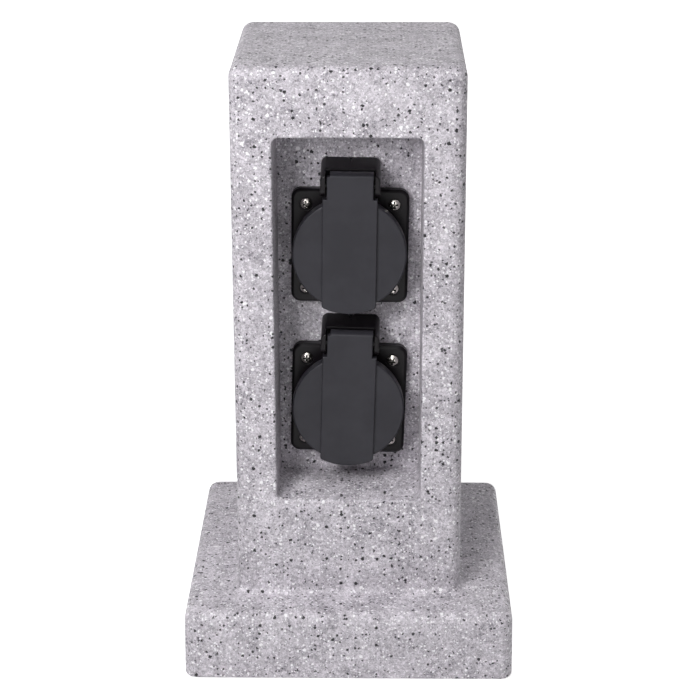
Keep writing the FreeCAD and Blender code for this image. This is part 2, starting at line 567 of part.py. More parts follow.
def make_housing():
    """The stone-look shell: pillar, base, recess with its panel, posts and seats."""
    body = new_body("housing")
    loft(body, "AdditiveLoft", "BaseBlock", "XY", "0", "base_height",
         lambda sketch: square(sketch, "base_width / 2", "base_corner_radius"),
         lambda sketch: square(sketch, "base_top_width / 2", "base_corner_radius"))
    loft(body, "AdditiveLoft", "Pillar", "XY", "base_height", "total_height",
         lambda sketch: square(sketch, "pillar_foot_width / 2", "pillar_corner_radius"),
         lambda sketch: square(sketch, "pillar_top_width / 2", "pillar_corner_radius"))
    border = number("between_widths")
    soften(body, "Fillet", "TopEdge", "pillar_top_radius",
           lambda point: near(point.z, "total_height"))
    soften(body, "Fillet", "FootBlend", "pillar_foot_radius",
           lambda point: near(point.z, "base_height")
           and max(abs(point.x), abs(point.y)) < border)
    soften(body, "Fillet", "BaseTopEdge", "base_top_radius",
           lambda point: near(point.z, "base_height")
           and max(abs(point.x), abs(point.y)) > border)
    soften(body, "Fillet", "BaseFootEdge", "base_foot_radius", lambda point: near(point.z, "0"))
    cut(body, "BaseHollow", "XY", "0", "base_ceiling",
        lambda sketch: square(sketch, "base_inside", "(base_corner_radius - shell_wall)"))
    loft(body, "SubtractiveLoft", "PillarHollow", "XY", "base_ceiling",
         "total_height - shell_wall",
         lambda sketch: square(sketch, "pillar_foot_width / 2 - shell_wall",
                               "(pillar_corner_radius - shell_wall)"),
         lambda sketch: square(sketch, "pillar_top_width / 2 - shell_wall",
                               "(pillar_corner_radius - shell_wall)"))
    # The walls round the recess, from inside the front wall to the back of the panel
    slab(body, "RecessBox", "XZ", "-panel_back", "pillar_top_width / 2 - shell_wall / 2",
         lambda sketch: rectangle(
             sketch, "-recess_width / 2 - shell_wall", "recess_bottom - shell_wall",
             "recess_width / 2 + shell_wall", "recess_top + shell_wall", "recess_corner_radius"))
    loft(body, "SubtractiveLoft", "Recess", "XZ", "-panel_face", "pillar_foot_width / 2",
         lambda sketch: rectangle(
             sketch, "recess_draft - recess_width / 2", "recess_bottom + recess_floor_rise",
             "recess_width / 2 - recess_draft", "recess_top - recess_draft",
             "recess_corner_radius"),
         lambda sketch: rectangle(sketch, "-recess_width / 2", "recess_bottom",
                                  "recess_width / 2", "recess_top", "recess_corner_radius"))
    face_depth = number("pillar_top_width / 2") - 0.05
    soften(body, "Fillet", "RecessEdge", "recess_edge_radius",
           lambda point: point.y < -face_depth and abs(point.x) < number("recess_width / 2") + 0.1
           and number("recess_bottom") - 0.5 < point.z < number("recess_top") + 0.5)
    for prefix in SOCKETS:
        slab(body, prefix + "Posts", "XZ", "-panel_back - flange_boss_length", "-panel_back",
             lambda sketch: [circle(sketch, right, up, "flange_boss_radius")
                             for right, up in four_places("screw_place")], **on_panel(prefix))
        cut(body, prefix + "Opening", "XZ", "-panel_back - overrun", "-panel_face",
            lambda sketch: circle(sketch, "0", "0", "panel_hole_radius"), **on_panel(prefix))
        cut(body, prefix + "Pilots", "XZ", "-panel_back - flange_boss_length", "-panel_face",
            lambda sketch: [circle(sketch, right, up, "flange_screw_radius + thread_gap")
                            for right, up in four_places("screw_place")], **on_panel(prefix))
    slab(body, "PlatePosts", "XY", "plate_thickness", "base_ceiling",
         lambda sketch: [circle(sketch, right, up, "plate_boss_radius")
                         for right, up in four_places("plate_screw_place")])
    cut(body, "PlatePilots", "XY", "plate_thickness", "plate_seat + plate_screw_length + tip_gap",
        lambda sketch: [circle(sketch, right, up, "plate_screw_radius + thread_gap")
                        for right, up in four_places("plate_screw_place")])
    # The pad on the rear wall for the terminal block, and its two screw holes
    slab(body, "TerminalSeat", "XZ", "-pillar_top_width / 2 + shell_wall / 2", "-terminal_face",
         lambda sketch: rectangle(
             sketch, "-lug_place - lug_width / 2", "terminal_height - terminal_length / 2",
             "lug_place + lug_width / 2", "terminal_height + terminal_length / 2"))
    cut(body, "LugPilots", "XZ", "-terminal_face - lug_screw_grip", "-terminal_face",
        lambda sketch: [circle(sketch, side + "lug_place", "terminal_height",
                               "lug_screw_radius + thread_gap") for side in ("-", "")])
    # The flat seat and the hole of the cable gland in the rear face of the base
    seat_radius = "gland_corner + gland_seat_play"
    cut(body, "GlandSeat", "XZ", "-base_width / 2 - overrun", "-gland_seat",
        lambda sketch: circle(sketch, "0", "gland_height", seat_radius))
    cut(body, "GlandHole", "XZ", "-gland_seat - overrun", "-base_inside + overrun",
        lambda sketch: circle(sketch, "0", "gland_height", "gland_thread_radius + hole_gap"))


def make_base_plate():
    """The plate that closes the base and is the face that the outlet stands on."""
    body = new_body("base_plate")
    slab(body, "Plate", "XY", "0", "plate_thickness",
         lambda sketch: square(sketch, "plate_half", "(base_corner_radius - shell_wall)"))
    cut(body, "ScrewSeats", "XY", "0", "plate_seat",
        lambda sketch: [circle(sketch, right, up, "plate_head_radius + hole_gap")
                        for right, up in four_places("plate_screw_place")])
    cut(body, "ScrewHoles", "XY", "plate_head_sink", "plate_thickness",
        lambda sketch: [circle(sketch, right, up, "plate_screw_radius + hole_gap")
                        for right, up in four_places("plate_screw_place")])


def make_plate_screws():
    """Four screws from below, heads sunk in the plate."""
    body = new_body("base_plate_screws")
    spots = four_places("plate_screw_place")
    slab(body, "Head", "XY", "plate_head_sink", "plate_seat",
         lambda sketch: [circle(sketch, right, up, "plate_head_radius") for right, up in spots])
    slab(body, "Shank", "XY", "plate_seat", "plate_seat + plate_screw_length",
         lambda sketch: [circle(sketch, right, up, "plate_screw_radius") for right, up in spots])
    cut(body, "Recess", "XY", "plate_head_sink", "plate_head_sink + slot_depth",
        lambda sketch: [cross_recess(sketch, right, up, "plate_head_radius")
                        for right, up in spots])


def make_gland():
    """The cable gland in the rear face of the base: body, lock nut, seal and cap nut."""
    place = ("0", "gland_seat", "gland_height")
    body = new_body("gland_body", place)
    slab(body, "Hexagon", "XZ", "-gland_collar", "0", lambda sketch: hexagon(sketch, "gland_flats"))
    slab(body, "Tail", "XZ", "0", "gland_tail",
         lambda sketch: circle(sketch, "0", "0", "gland_thread_radius"))
    slab(body, "Head", "XZ", "gland_head_end", "-gland_collar",
         lambda sketch: circle(sketch, "0", "0", "gland_head_radius"))
    cut(body, "Bore", "XZ", "gland_head_end", "gland_tail",
        lambda sketch: circle(sketch, "0", "0", "gland_bore"))
    cut(body, "SealSeat", "XZ", "gland_head_end", "gland_seal_back",
        lambda sketch: circle(sketch, "0", "0", "gland_seal_radius + fit_gap"))

    body = new_body("gland_lock_nut", place)
    slab(body, "Hexagon", "XZ", "gland_wall", "gland_wall + lock_nut_height",
         lambda sketch: hexagon(sketch, "lock_nut_flats"))
    cut(body, "Thread", "XZ", "gland_wall", "gland_wall + lock_nut_height",
        lambda sketch: circle(sketch, "0", "0", "gland_thread_radius + thread_gap"))

    body = new_body("gland_seal", place)
    slab(body, "Sleeve", "XZ", "gland_seal_end", "gland_seal_back",
         lambda sketch: (circle(sketch, "0", "0", "gland_seal_radius"),
                         circle(sketch, "0", "0", "gland_seal_bore")))

    body = new_body("gland_cap_nut", place)
    slab(body, "Hexagon", "XZ", "gland_cap_end", "gland_cap_front",
         lambda sketch: hexagon(sketch, "gland_flats"))
    soften(body, "Chamfer", "RoundedEnd", "gland_cap_bevel",
           lambda point: near(-point.y, "gland_cap_end"))
    cut(body, "Thread", "XZ", "gland_cap_inside", "gland_cap_front",
        lambda sketch: circle(sketch, "0", "0", "gland_head_radius + thread_gap"))
    cut(body, "Mouth", "XZ", "gland_cap_end", "gland_cap_inside + overrun",
        lambda sketch: circle(sketch, "0", "0", "gland_bore"))


def make_terminal_block():
    """The three-pole terminal block on the rear wall, its brass bars and its screws."""
    place = ("0", "terminal_face", "terminal_height")
    poles = ("-contact_offset", "0", "contact_offset")
    height = "terminal_length / 2"
    body = new_body("terminal_block", place)
    slab(body, "Block", "XZ", "0", "terminal_depth",
         lambda sketch: rectangle(sketch, "-terminal_half", "-" + height, "terminal_half", height))
    slab(body, "Lugs", "XZ", "0", "lug_thickness",
         lambda sketch: rectangle(sketch, "-lug_place - lug_width / 2", "-lug_height / 2",
                                  "lug_place + lug_width / 2", "lug_height / 2"))
    cut(body, "LugHoles", "XZ", "0", "lug_thickness",
        lambda sketch: [circle(sketch, side + "lug_place", "0", "lug_screw_radius + hole_gap")
                        for side in ("-", "")])
    cut(body, "BarHoles", "XY", "-" + height, height,
        lambda sketch: [rectangle(sketch, "%s - bar_width / 2 - bar_play" % pole,
                                  "-bar_front - bar_play",
                                  "%s + bar_width / 2 + bar_play" % pole,
                                  "-bar_floor + bar_play") for pole in poles])
    spots = [(pole, side + "bar_screw_offset") for pole in poles for side in ("-", "")]
    cut(body, "ScrewAccess", "XZ", "bar_front", "terminal_depth",
        lambda sketch: [circle(sketch, right, up, "bar_head_radius + hole_gap")
                        for right, up in spots])

    bars = new_body("terminal_bars", place)
    slab(bars, "Bars", "XY", "-bar_length / 2", "bar_length / 2",
         lambda sketch: [rectangle(sketch, "%s - bar_width / 2" % pole, "-bar_front",
                                   "%s + bar_width / 2" % pole, "-bar_floor") for pole in poles])
    cut(bars, "WireSlots", "XY", "bar_length / 2 - wire_insertion - wire_end_gap",
        "bar_length / 2",
        lambda sketch: [rectangle(sketch, "%s - bar_slot_width / 2" % pole, "-slot_front",
                                  "%s + bar_slot_width / 2" % pole, "-slot_back")
                        for pole in poles])
    cut(bars, "SupplyHoles", "XY", "-bar_length / 2",
        "wire_insertion + wire_end_gap - bar_length / 2",
        lambda sketch: [circle(sketch, pole, "-(slot_front + slot_back) / 2",
                               "bar_slot_width / 2") for pole in poles])
    cut(bars, "Threads", "XZ", "slot_front - overrun", "bar_front",
        lambda sketch: [circle(sketch, right, up, "bar_screw_radius + thread_gap")
                        for right, up in spots])
    screws("terminal_bar_screws", place, "0", "XZ", spots,
           ("bar_screw_tip", "bar_front", "bar_front + bar_head_height", "bar_screw_radius",
            "bar_head_radius"), slot_recess)
    screws("terminal_block_screws", place, "0", "XZ",
           [("-lug_place", "0"), ("lug_place", "0")],
           ("-lug_screw_grip", "lug_thickness", "lug_thickness + lug_head_height",
            "lug_screw_radius", "lug_head_radius"), cross_recess)


def draw_hood(sketch, foot, inset="0"):
    """The hood seen from the front, with round upper corners."""
    side, top = "(hood_half - %s)" % inset, "(hood_top - %s)" % inset
    radius = "(hood_corner_radius - %s)" % inset
    corners = [("-" + side, foot), (side, foot), (side, "%s - %s" % (top, radius)),
               ("%s - %s" % (side, radius), top), ("%s - %s" % (radius, side), top),
               ("-" + side, "%s - %s" % (top, radius))]
    outline(sketch, corners, {2: (radius, 1), 4: (radius, 1)})


def draw_flange(sketch, inset="0"):
    """The flange seen from the front."""
    side, up = "(flange_half - %s)" % inset, "(flange_half_height - %s)" % inset
    rectangle(sketch, "-" + side, "-" + up, side, up, "(flange_corner_radius - %s)" % inset)


def make_gasket(prefix):
    """The rubber gasket between flange and panel, with the tongue behind the hood."""
    body = new_body(prefix + "_flange_gasket", socket_place(prefix), prefix + "_socket_tilt")
    slab(body, "Square", "XZ", "0", "gasket_thickness",
         lambda sketch: draw_flange(sketch, "gasket_inset"))
    slab(body, "Tongue", "XZ", "0", "gasket_thickness",
         lambda sketch: draw_hood(sketch, "body_radius", "gasket_inset"))
    cut(body, "Opening", "XZ", "0", "gasket_thickness",
        lambda sketch: circle(sketch, "0", "0", "panel_hole_radius"))
    cut(body, "ScrewHoles", "XZ", "0", "gasket_thickness",
        lambda sketch: [circle(sketch, right, up, "flange_screw_radius + hole_gap")
                        for right, up in four_places("screw_place")])


def make_socket_frame(prefix):
    """Flange, collar with the plug well, and the hood that carries the hinge pin."""
    body = new_body(prefix + "_socket_frame", socket_place(prefix), prefix + "_socket_tilt")
    slab(body, "Flange", "XZ", "flange_back", "flange_front", draw_flange)
    soften(body, "Chamfer", "FlangeBevel", "flange_bevel",
           lambda point: near(-point.y, "flange_front"))
    slab(body, "Tongue", "XZ", "flange_back", "flange_front",
         lambda sketch: rectangle(sketch, "-hood_half", "body_radius", "hood_half", "hood_top"))
    slab(body, "Hood", "XZ", "flange_front", "hood_front",
         lambda sketch: rectangle(sketch, "-hood_half", "cheek_foot", "hood_half", "hood_top"))
    # The roof falls towards the front, and its middle stays behind the side walls
    cut(body, "RoofSlope", "YZ", "-hood_half - overrun", "hood_half + overrun",
        lambda sketch: outline(sketch, [
            ("-flange_back", "hood_top"), ("-hood_front", "hood_top - hood_slope"),
            ("-hood_front - overrun", "hood_top - hood_slope"),
            ("-hood_front - overrun", "hood_top + overrun"),
            ("-flange_back", "hood_top + overrun")]))
    lowest = number("hood_top - hood_slope") - 0.1
    soften(body, "Fillet", "HoodCorners", "hood_corner_radius",
           lambda point: near(abs(point.x), "hood_half") and point.z > lowest
           and near(point.z, "hood_top - roof_fall * (%.9f - flange_back)" % -point.y))
    soften(body, "Fillet", "HoodEdge", "hood_edge_radius",
           lambda point: near(-point.y, "hood_front")
           and (point.z > number("cheek_foot") + 0.1 or near(abs(point.x), "hood_half")))
    cut(body, "HingeSpace", "YZ", "-cheek_inside", "cheek_inside",
        lambda sketch: outline(sketch, [
            ("-flange_front", "cheek_foot - overrun"),
            ("-flange_front", "ceiling_back"), ("-roof_front", "ceiling_front"),
            ("-roof_front", "hood_top + overrun"),
            ("-hood_front - overrun", "hood_top + overrun"),
            ("-hood_front - overrun", "cheek_foot - overrun")]))
    soften(body, "Fillet", "RoofEdge", "roof_edge_radius",
           lambda point: near(-point.y, "roof_front") and abs(point.x) < number("hood_half")
           and point.z > number("ceiling_front + hood_thickness / 2"))
    # The lower front corner of both side walls runs round the hinge
    cut(body, "CheekRound", "YZ", "-hood_half - overrun", "hood_half + overrun",
        lambda sketch: outline(sketch, [
            ("-hood_front", "hinge_up"), ("cheek_drop - hood_front", "cheek_foot"),
            ("cheek_drop - hood_front", "cheek_foot - overrun"),
            ("-hood_front - overrun", "cheek_foot - overrun"),
            ("-hood_front - overrun", "hinge_up")], {0: ("cheek_drop", 1)}))
    slab(body, "Collar", "XZ", "flange_back", "collar_front",
         lambda sketch: circle(sketch, "0", "0", "collar_radius"))
    slab(body, "Body", "XZ", "ledge_back", "flange_back",
         lambda sketch: circle(sketch, "0", "0", "body_radius"))
    cut(body, "Well", "XZ", "ledge_front", "collar_front",
        lambda sketch: circle(sketch, "0", "0", "well_radius"))
    soften(body, "Fillet", "CollarEdge", "collar_edge_radius",
           lambda point: near(-point.y, "collar_front"))
    cut(body, "Ledge", "XZ", "ledge_back", "ledge_front",
        lambda sketch: circle(sketch, "0", "0", "ledge_radius"))
    cut(body, "ScrewSeats", "XZ", "flange_front - flange_seat_depth", "flange_front",
        lambda sketch: [circle(sketch, right, up, "flange_seat_radius")
                        for right, up in four_places("screw_place")])
    cut(body, "ScrewHoles", "XZ", "flange_back", "flange_front",
        lambda sketch: [circle(sketch, right, up, "flange_screw_radius + hole_gap")
                        for right, up in four_places("screw_place")])
    cut(body, "CentreMark", "XZ", "flange_back", "flange_front",
        lambda sketch: outline(sketch, [
            ("-notch_width / 2", "hood_top + overrun"), ("-notch_width / 2", "hood_top"),
            ("0", "hood_top - notch_depth"), ("notch_width / 2", "hood_top"),
            ("notch_width / 2", "hood_top + overrun")]))
    cut(body, "PinBore", "YZ", "pin_end_wall - hood_half", "hood_half",
        lambda sketch: circle(sketch, "-hinge_out", "hinge_up", "pin_radius + pin_press_gap"))


def make_flange_screws(prefix):
    """Four dome-headed screws that hold the flange on the panel."""
    seat = "(flange_front - flange_seat_depth)"
    body = screws(prefix + "_flange_screws", socket_place(prefix), prefix + "_socket_tilt", "XZ",
                  four_places("screw_place"),
                  ("tip_gap - panel_thickness - flange_boss_length", seat,
                   seat + " + flange_head_height", "flange_screw_radius", "flange_head_radius"),
                  cross_recess)
    top = seat + " + flange_head_height"
    reach = number("flange_head_radius") - 0.05
    place = number("screw_place")
    soften(body, "Fillet", "Dome", "flange_head_height / 2",
           lambda point: near(-point.y, top)
           and math.hypot(abs(point.x) - place, abs(point.z) - place) > reach)


def make_lid(prefix):
    """The round flip lid with its raised band, arm and hinge knuckles."""
    body = new_body(prefix + "_lid", socket_place(prefix), prefix + "_socket_tilt")
    sketch = new_sketch(body, "DiscProfile", "YZ", "0")
    outline(sketch, [("-lid_back", "0"), ("-lid_back", "lid_inside_radius"),
                     ("lid_skirt_depth - lid_back", "lid_inside_radius"),
                     ("lid_skirt_depth - lid_back", "lid_radius"),
                     ("lid_edge_radius - lid_front", "lid_radius"),
                     ("-lid_front", "lid_radius - lid_edge_radius"), ("-lid_front", "0")],
            {4: ("lid_edge_radius", 1)})
    disc = body.newObject("PartDesign::Revolution", "Disc")
    disc.Profile = sketch
    disc.ReferenceAxis = (sketch, ["H_Axis"])
    disc.Angle = 360
    low = "-sqrt(band_reach * band_reach - band_half * band_half)"
    slab(body, "Band", "XZ", "lid_back", "band_front",
         lambda sketch: outline(sketch, [("-band_half", low), ("band_half", low),
                                         ("band_half", "shoulder_up"),
                                         ("-band_half", "shoulder_up")],
                                {0: ("band_reach", 1)}))
    slab(body, "Arm", "XZ", "hinge_out", "band_front",
         lambda sketch: rectangle(sketch, "-arm_half", "shoulder_up - overrun", "arm_half",
                                  "arm_top"))
    soften(body, "Fillet", "BandCorners", "band_corner_radius",
           lambda point: near(abs(point.x), "band_half") and near(point.z, low))
    soften(body, "Fillet", "BandEdge", "band_edge_radius",
           lambda point: near(-point.y, "band_front")
           and (point.z < number("arm_top") - 0.1 or near(abs(point.x), "arm_half")))
    # The barrel round the hinge axis: the front of the arm runs into it over a soft edge
    slab(body, "Barrel", "YZ", "barrel_left", "arm_half",
         lambda sketch: outline(sketch, [
             ("-band_front", "arm_top"), ("-tangent_out", "tangent_up"),
             ("knuckle_radius - hinge_out", "hinge_up"),
             ("-hinge_out", "hinge_up - knuckle_radius"),
             ("-hinge_out - hinge_setback / 2", "hinge_up - knuckle_radius"),
             ("-hinge_out - hinge_setback / 2", "arm_top")],
             {0: ("arm_edge_radius", -1), 1: ("knuckle_radius", -1), 2: ("knuckle_radius", -1)}))
    # The pocket for the spring is open at the left end of the barrel. The slot for its leg is
    # open below and behind, so the lid swings up past the leg
    cut(body, "SpringPocket", "YZ", "-arm_half - overrun", "spring_right + spring_play",
        lambda sketch: circle(sketch, "-hinge_out", "hinge_up", "spring_pocket"))
    cut(body, "LegSlot", "YZ", "spring_right - spring_wire - spring_play",
        "spring_right + spring_play",
        lambda sketch: rectangle(sketch, "-hinge_out", "hinge_up - knuckle_radius - overrun",
                                 "knuckle_radius + overrun - hinge_out",
                                 "hinge_up + spring_pocket + leg_slot_rise"))
    cut(body, "PinBore", "YZ", "-arm_half - overrun", "arm_half + overrun",
        lambda sketch: circle(sketch, "-hinge_out", "hinge_up", "pin_radius + pin_running_gap"))

    seal = new_body(prefix + "_lid_seal", socket_place(prefix), prefix + "_socket_tilt")
    slab(seal, "Ring", "XZ", "lid_back - seal_thickness", "lid_back",
         lambda sketch: (circle(sketch, "0", "0", "seal_radius"),
                         circle(sketch, "0", "0", "seal_radius - seal_width")))


def make_hinge(prefix):
    """The hinge pin in the hood and the spring that closes the lid."""
    pin = new_body(prefix + "_hinge_pin", socket_place(prefix), prefix + "_socket_tilt")
    slab(pin, "Pin", "YZ", "pin_end_wall + pin_end_gap - hood_half", "hood_half - pin_sink",
         lambda sketch: circle(sketch, "-hinge_out", "hinge_up", "pin_radius"))

    spring = new_body(prefix + "_lid_spring", socket_place(prefix), prefix + "_socket_tilt")
    slab(spring, "Turns", "YZ", "spring_left", "spring_right",
         lambda sketch: (circle(sketch, "-hinge_out", "hinge_up", "spring_radius"),
                         circle(sketch, "-hinge_out", "hinge_up", "spring_radius - spring_wire")))
    slab(spring, "FixedLeg", "YZ", "spring_left", "spring_left + spring_wire",
         lambda sketch: rectangle(sketch, "-hinge_out", "hinge_up - leg_outside",
                                  "-flange_front - leg_foot_gap", "hinge_up - leg_inside"))
    slab(spring, "LidLeg", "YZ", "spring_right - spring_wire", "spring_right",
         lambda sketch: rectangle(sketch, "leg_inside - hinge_out", "hinge_up - spring_leg",
                                  "leg_outside - hinge_out", "hinge_up"))


def make_contact_insert(prefix):
    """The floor of the plug well and the tail that holds the contacts."""
    body = new_body(prefix + "_contact_insert", socket_place(prefix), prefix + "_socket_tilt")
    slab(body, "Floor", "XZ", "ledge_front", "well_floor",
         lambda sketch: circle(sketch, "0", "0", "well_radius - fit_gap"))
    slab(body, "Tail", "XZ", "tail_end", "ledge_front",
         lambda sketch: circle(sketch, "0", "0", "tail_radius"))
    pins = ("-contact_offset", "contact_offset")
    cut(body, "PinHoles", "XZ", "well_floor - entry_depth - contact_play", "well_floor",
        lambda sketch: [circle(sketch, pin, "0", "contact_bore + entry_gap") for pin in pins])
    cut(body, "TubeHoles", "XZ", "tail_end", "well_floor - entry_depth",
        lambda sketch: [circle(sketch, pin, "0", "contact_radius + contact_play")
                        for pin in pins])
    # Pockets for the terminal ends, open behind and to the sides
    inner = "contact_offset - block_width / 2 - contact_play"
    cut(body, "BlockPockets", "XZ", "tail_end", "block_front + contact_play",
        lambda sketch: (
            rectangle(sketch, inner, "-block_side / 2 - contact_play", "tail_radius + overrun",
                      "block_side / 2 + contact_play"),
            rectangle(sketch, "-tail_radius - overrun", "-block_side / 2 - contact_play",
                      "-(%s)" % inner, "block_side / 2 + contact_play")))
    cut(body, "StrapSlot", "XZ", "tail_end", "strap_slot_front",
        lambda sketch: rectangle(sketch, "-strap_slot_half", "-tail_radius - overrun",
                                 "strap_slot_half", "tail_radius + overrun"))
    for side in ("-", ""):
        ends = ["clip_radius - strap_thickness - contact_play", "clip_radius + contact_play"]
        if side:
            ends = ["-(%s)" % end for end in reversed(ends)]
        cut(body, "ClipSlot" + ("Low" if side else "High"), "XZ", "strap_slot_front - overrun",
            "well_floor",
            lambda sketch: rectangle(sketch, "-strap_width / 2 - contact_play", ends[0],
                                     "strap_width / 2 + contact_play", ends[1]))
    cut(body, "ScrewSeat", "XZ", "centre_seat", "well_floor",
        lambda sketch: circle(sketch, "0", "0", "centre_head_radius + hole_gap"))
    cut(body, "ScrewHole", "XZ", "strap_slot_front - overrun", "centre_seat + thread_gap",
        lambda sketch: circle(sketch, "0", "0", "centre_screw_radius + hole_gap"))


def terminal_end(body, front):
    """The brass end of a contact, with its wire hole and the thread of its clamp screw."""
    slab(body, "Block", "XZ", "tail_end", front,
         lambda sketch: rectangle(sketch, "contact_offset - block_width / 2", "-block_side / 2",
                                  "contact_offset + block_width / 2", "block_side / 2"))
    cut(body, "WireHole", "XZ", "tail_end", "tail_end + wire_insertion + wire_end_gap",
        lambda sketch: circle(sketch, "contact_offset", "0", "wire_hole_radius"))
    cut(body, "Thread", "YZ", "contact_offset", "contact_offset + block_width / 2",
        lambda sketch: circle(sketch, "-clamp_out", "0", "clamp_screw_radius + thread_gap"))


def make_contacts(prefix):
    """The two pin contacts and the earth bracket with its clips."""
    for name, quarter in (("live", "0"), ("neutral", "180")):
        body = new_body("%s_%s_contact" % (prefix, name), socket_place(prefix),
                        "%s_socket_tilt + %s" % (prefix, quarter))
        slab(body, "Tube", "XZ", "block_front", "contact_front",
             lambda sketch: (circle(sketch, "contact_offset", "0", "contact_radius"),
                             circle(sketch, "contact_offset", "0", "contact_bore")))
        terminal_end(body, "block_front")

    # The bracket is drawn on its side: its own +X points down in the socket
    body = new_body(prefix + "_earth_bracket", socket_place(prefix),
                    prefix + "_socket_tilt + 90")
    slab(body, "Strap", "XZ", "strap_back", "strap_front",
         lambda sketch: rectangle(sketch, "-clip_radius", "-strap_width / 2", "clip_radius",
                                  "strap_width / 2"))
    inner = "clip_radius - strap_thickness"
    for name, side in (("High", "-"), ("Low", "")):
        def clip(reach, depth):
            return ("%s(%s)" % (side, reach), depth)
        corners = [clip("clip_radius", "-strap_back"), clip("clip_radius", "-well_floor"),
                   clip("clip_radius - clip_bow", "-clip_middle"),
                   clip("clip_radius", "-clip_tip"), clip(inner, "-clip_tip"),
                   clip(inner + " - clip_bow", "-clip_middle"), clip(inner, "-well_floor"),
                   clip(inner, "-strap_back")]
        slab(body, "Clip" + name, "XY", "-strap_width / 2", "strap_width / 2",
             lambda sketch: outline(sketch, corners))
    terminal_end(body, "strap_back")
    cut(body, "ScrewHole", "XZ", "strap_back", "strap_front",
        lambda sketch: circle(sketch, "0", "0", "centre_screw_radius + hole_gap"))


def make_clamp_screws(prefix):
    """The three clamp screws of the contacts, heads outwards."""
    body = new_body(prefix + "_clamp_screws", socket_place(prefix), prefix + "_socket_tilt")
    top = "clamp_seat + clamp_head_height"
    for name, plane, side, spot in (("Live", "YZ", "", ("-clamp_out", "0")),
                                    ("Neutral", "YZ", "-", ("-clamp_out", "0")),
                                    ("Earth", "XY", "-", ("0", "-clamp_out"))):
        def between(start, end):
            if side:
                return "-(%s)" % end, "-(%s)" % start
            return start, end
        for piece, start, end, radius in (
                ("Shank", "clamp_tip", "clamp_seat", "clamp_screw_radius"),
                ("Head", "clamp_seat", top, "clamp_head_radius")):
            slab(body, name + piece, plane, *between(start, end),
                 lambda sketch: circle(sketch, *spot, radius))
        cut(body, name + "Recess", plane, *between(top + " - slot_depth", top),
            lambda sketch: slot_recess(sketch, *spot, "clamp_head_radius"))


def make_rear_cover(prefix):
    """The cover behind the contacts, with the post that takes the centre screw."""
    body = new_body(prefix + "_rear_cover", socket_place(prefix), prefix + "_socket_tilt")
    slab(body, "Cup", "XZ", "cover_outside", "ledge_back",
         lambda sketch: circle(sketch, "0", "0", "cover_radius"))
    cut(body, "Hollow", "XZ", "cover_inside", "ledge_back",
        lambda sketch: circle(sketch, "0", "0", "cover_radius - cover_wall"))
    slab(body, "Post", "XZ", "cover_inside", "cover_post_front",
         lambda sketch: circle(sketch, "0", "0", "cover_post_radius"))
    cut(body, "PostHole", "XZ", "cover_inside", "cover_post_front",
        lambda sketch: circle(sketch, "0", "0", "centre_screw_radius + thread_gap"))
    cut(body, "WireHoles", "XZ", "cover_outside", "cover_inside",
        lambda sketch: [circle(sketch, right, up, "wire_hole_radius + wire_hole_gap")
                        for right, up in (("-contact_offset", "0"), ("contact_offset", "0"),
                                          ("0", "-contact_offset"))])


def make_centre_screw(prefix):
    """The screw in the middle of the plug well that clamps insert and cover."""
    screws(prefix + "_centre_screw", socket_place(prefix), prefix + "_socket_tilt", "XZ",
           [("0", "0")], ("centre_seat - centre_screw_length", "centre_seat",
                          "centre_seat + centre_head_height", "centre_screw_radius",
                          "centre_head_radius"), cross_recess)


def routed_wire(label, route):
    """An insulated wire along straight runs joined by arcs that touch both runs."""
    radius = number("wire_radius")
    edges = []
    start = route[0]
    radii = []
    for before, corner, after in zip(route, route[1:], route[2:]):
        back, ahead = before - corner, after - corner
        turn = math.pi - back.getAngle(ahead)
        bend = BEND_SHARE * min(back.Length, ahead.Length) / math.tan(turn / 2)
        reach = bend * math.tan(turn / 2)
        back.normalize()
        ahead.normalize()
        inward = (back + ahead).normalize()
        middle = corner + inward * (math.hypot(bend, reach) - bend)
        edges.append(Part.LineSegment(start, corner + back * reach).toShape())
        edges.append(Part.Arc(corner + back * reach, middle, corner + ahead * reach).toShape())
        start = corner + ahead * reach
        radii.append(bend)
    edges.append(Part.LineSegment(start, route[-1]).toShape())
    path = Part.Wire(edges)
    section = Part.Wire(Part.Circle(route[0], route[1] - route[0], radius).toShape())
    shape = path.makePipeShell([section], True, False)
    expected = math.pi * radius ** 2 * path.Length
    print("%s: bend radii %s mm, volume %.1f of %.1f mm3" % (
        label, ", ".join("%.1f" % bend for bend in radii), shape.Volume, expected))
    if abs(shape.Volume / expected - 1) > 0.01:
        raise RuntimeError(label + " doesn't have its section all along")
    wire = doc.addObject("Part::Feature", label)
    wire.Shape = shape
    wire.Placement = FreeCAD.Placement()


def make_wires(prefix):
    """Three wires from the terminal block up to the terminals of a socket."""
    place = [number(formula) for formula in socket_place(prefix)]
    tilt = math.radians(number(prefix + "_socket_tilt"))
    offset = number("contact_offset")
    slot_out = number("rear_wire_out" if prefix == "upper" else "front_wire_out")
    depth = number("terminal_face") - slot_out
    start_height = number("terminal_height + bar_length / 2 - wire_insertion")
    end_depth = number("panel_face - tail_end - wire_insertion")
    for name, right, up in (("live", offset, 0), ("neutral", -offset, 0), ("earth", 0, -offset)):
        across = place[0] + right * math.cos(tilt) + up * math.sin(tilt)
        height = place[2] - right * math.sin(tilt) + up * math.cos(tilt)
        route = [FreeCAD.Vector(across, depth, start_height)]
        if prefix == "upper":
            sag = number("wire_sag")
            span = height - start_height
            for climb, share in SAG:
                route.append(FreeCAD.Vector(across, depth + share * sag,
                                            start_height + climb * span))
        route.append(FreeCAD.Vector(across, depth, height))
        route.append(FreeCAD.Vector(across, end_depth, height))
        routed_wire("%s_%s_wire" % (prefix, name), route)


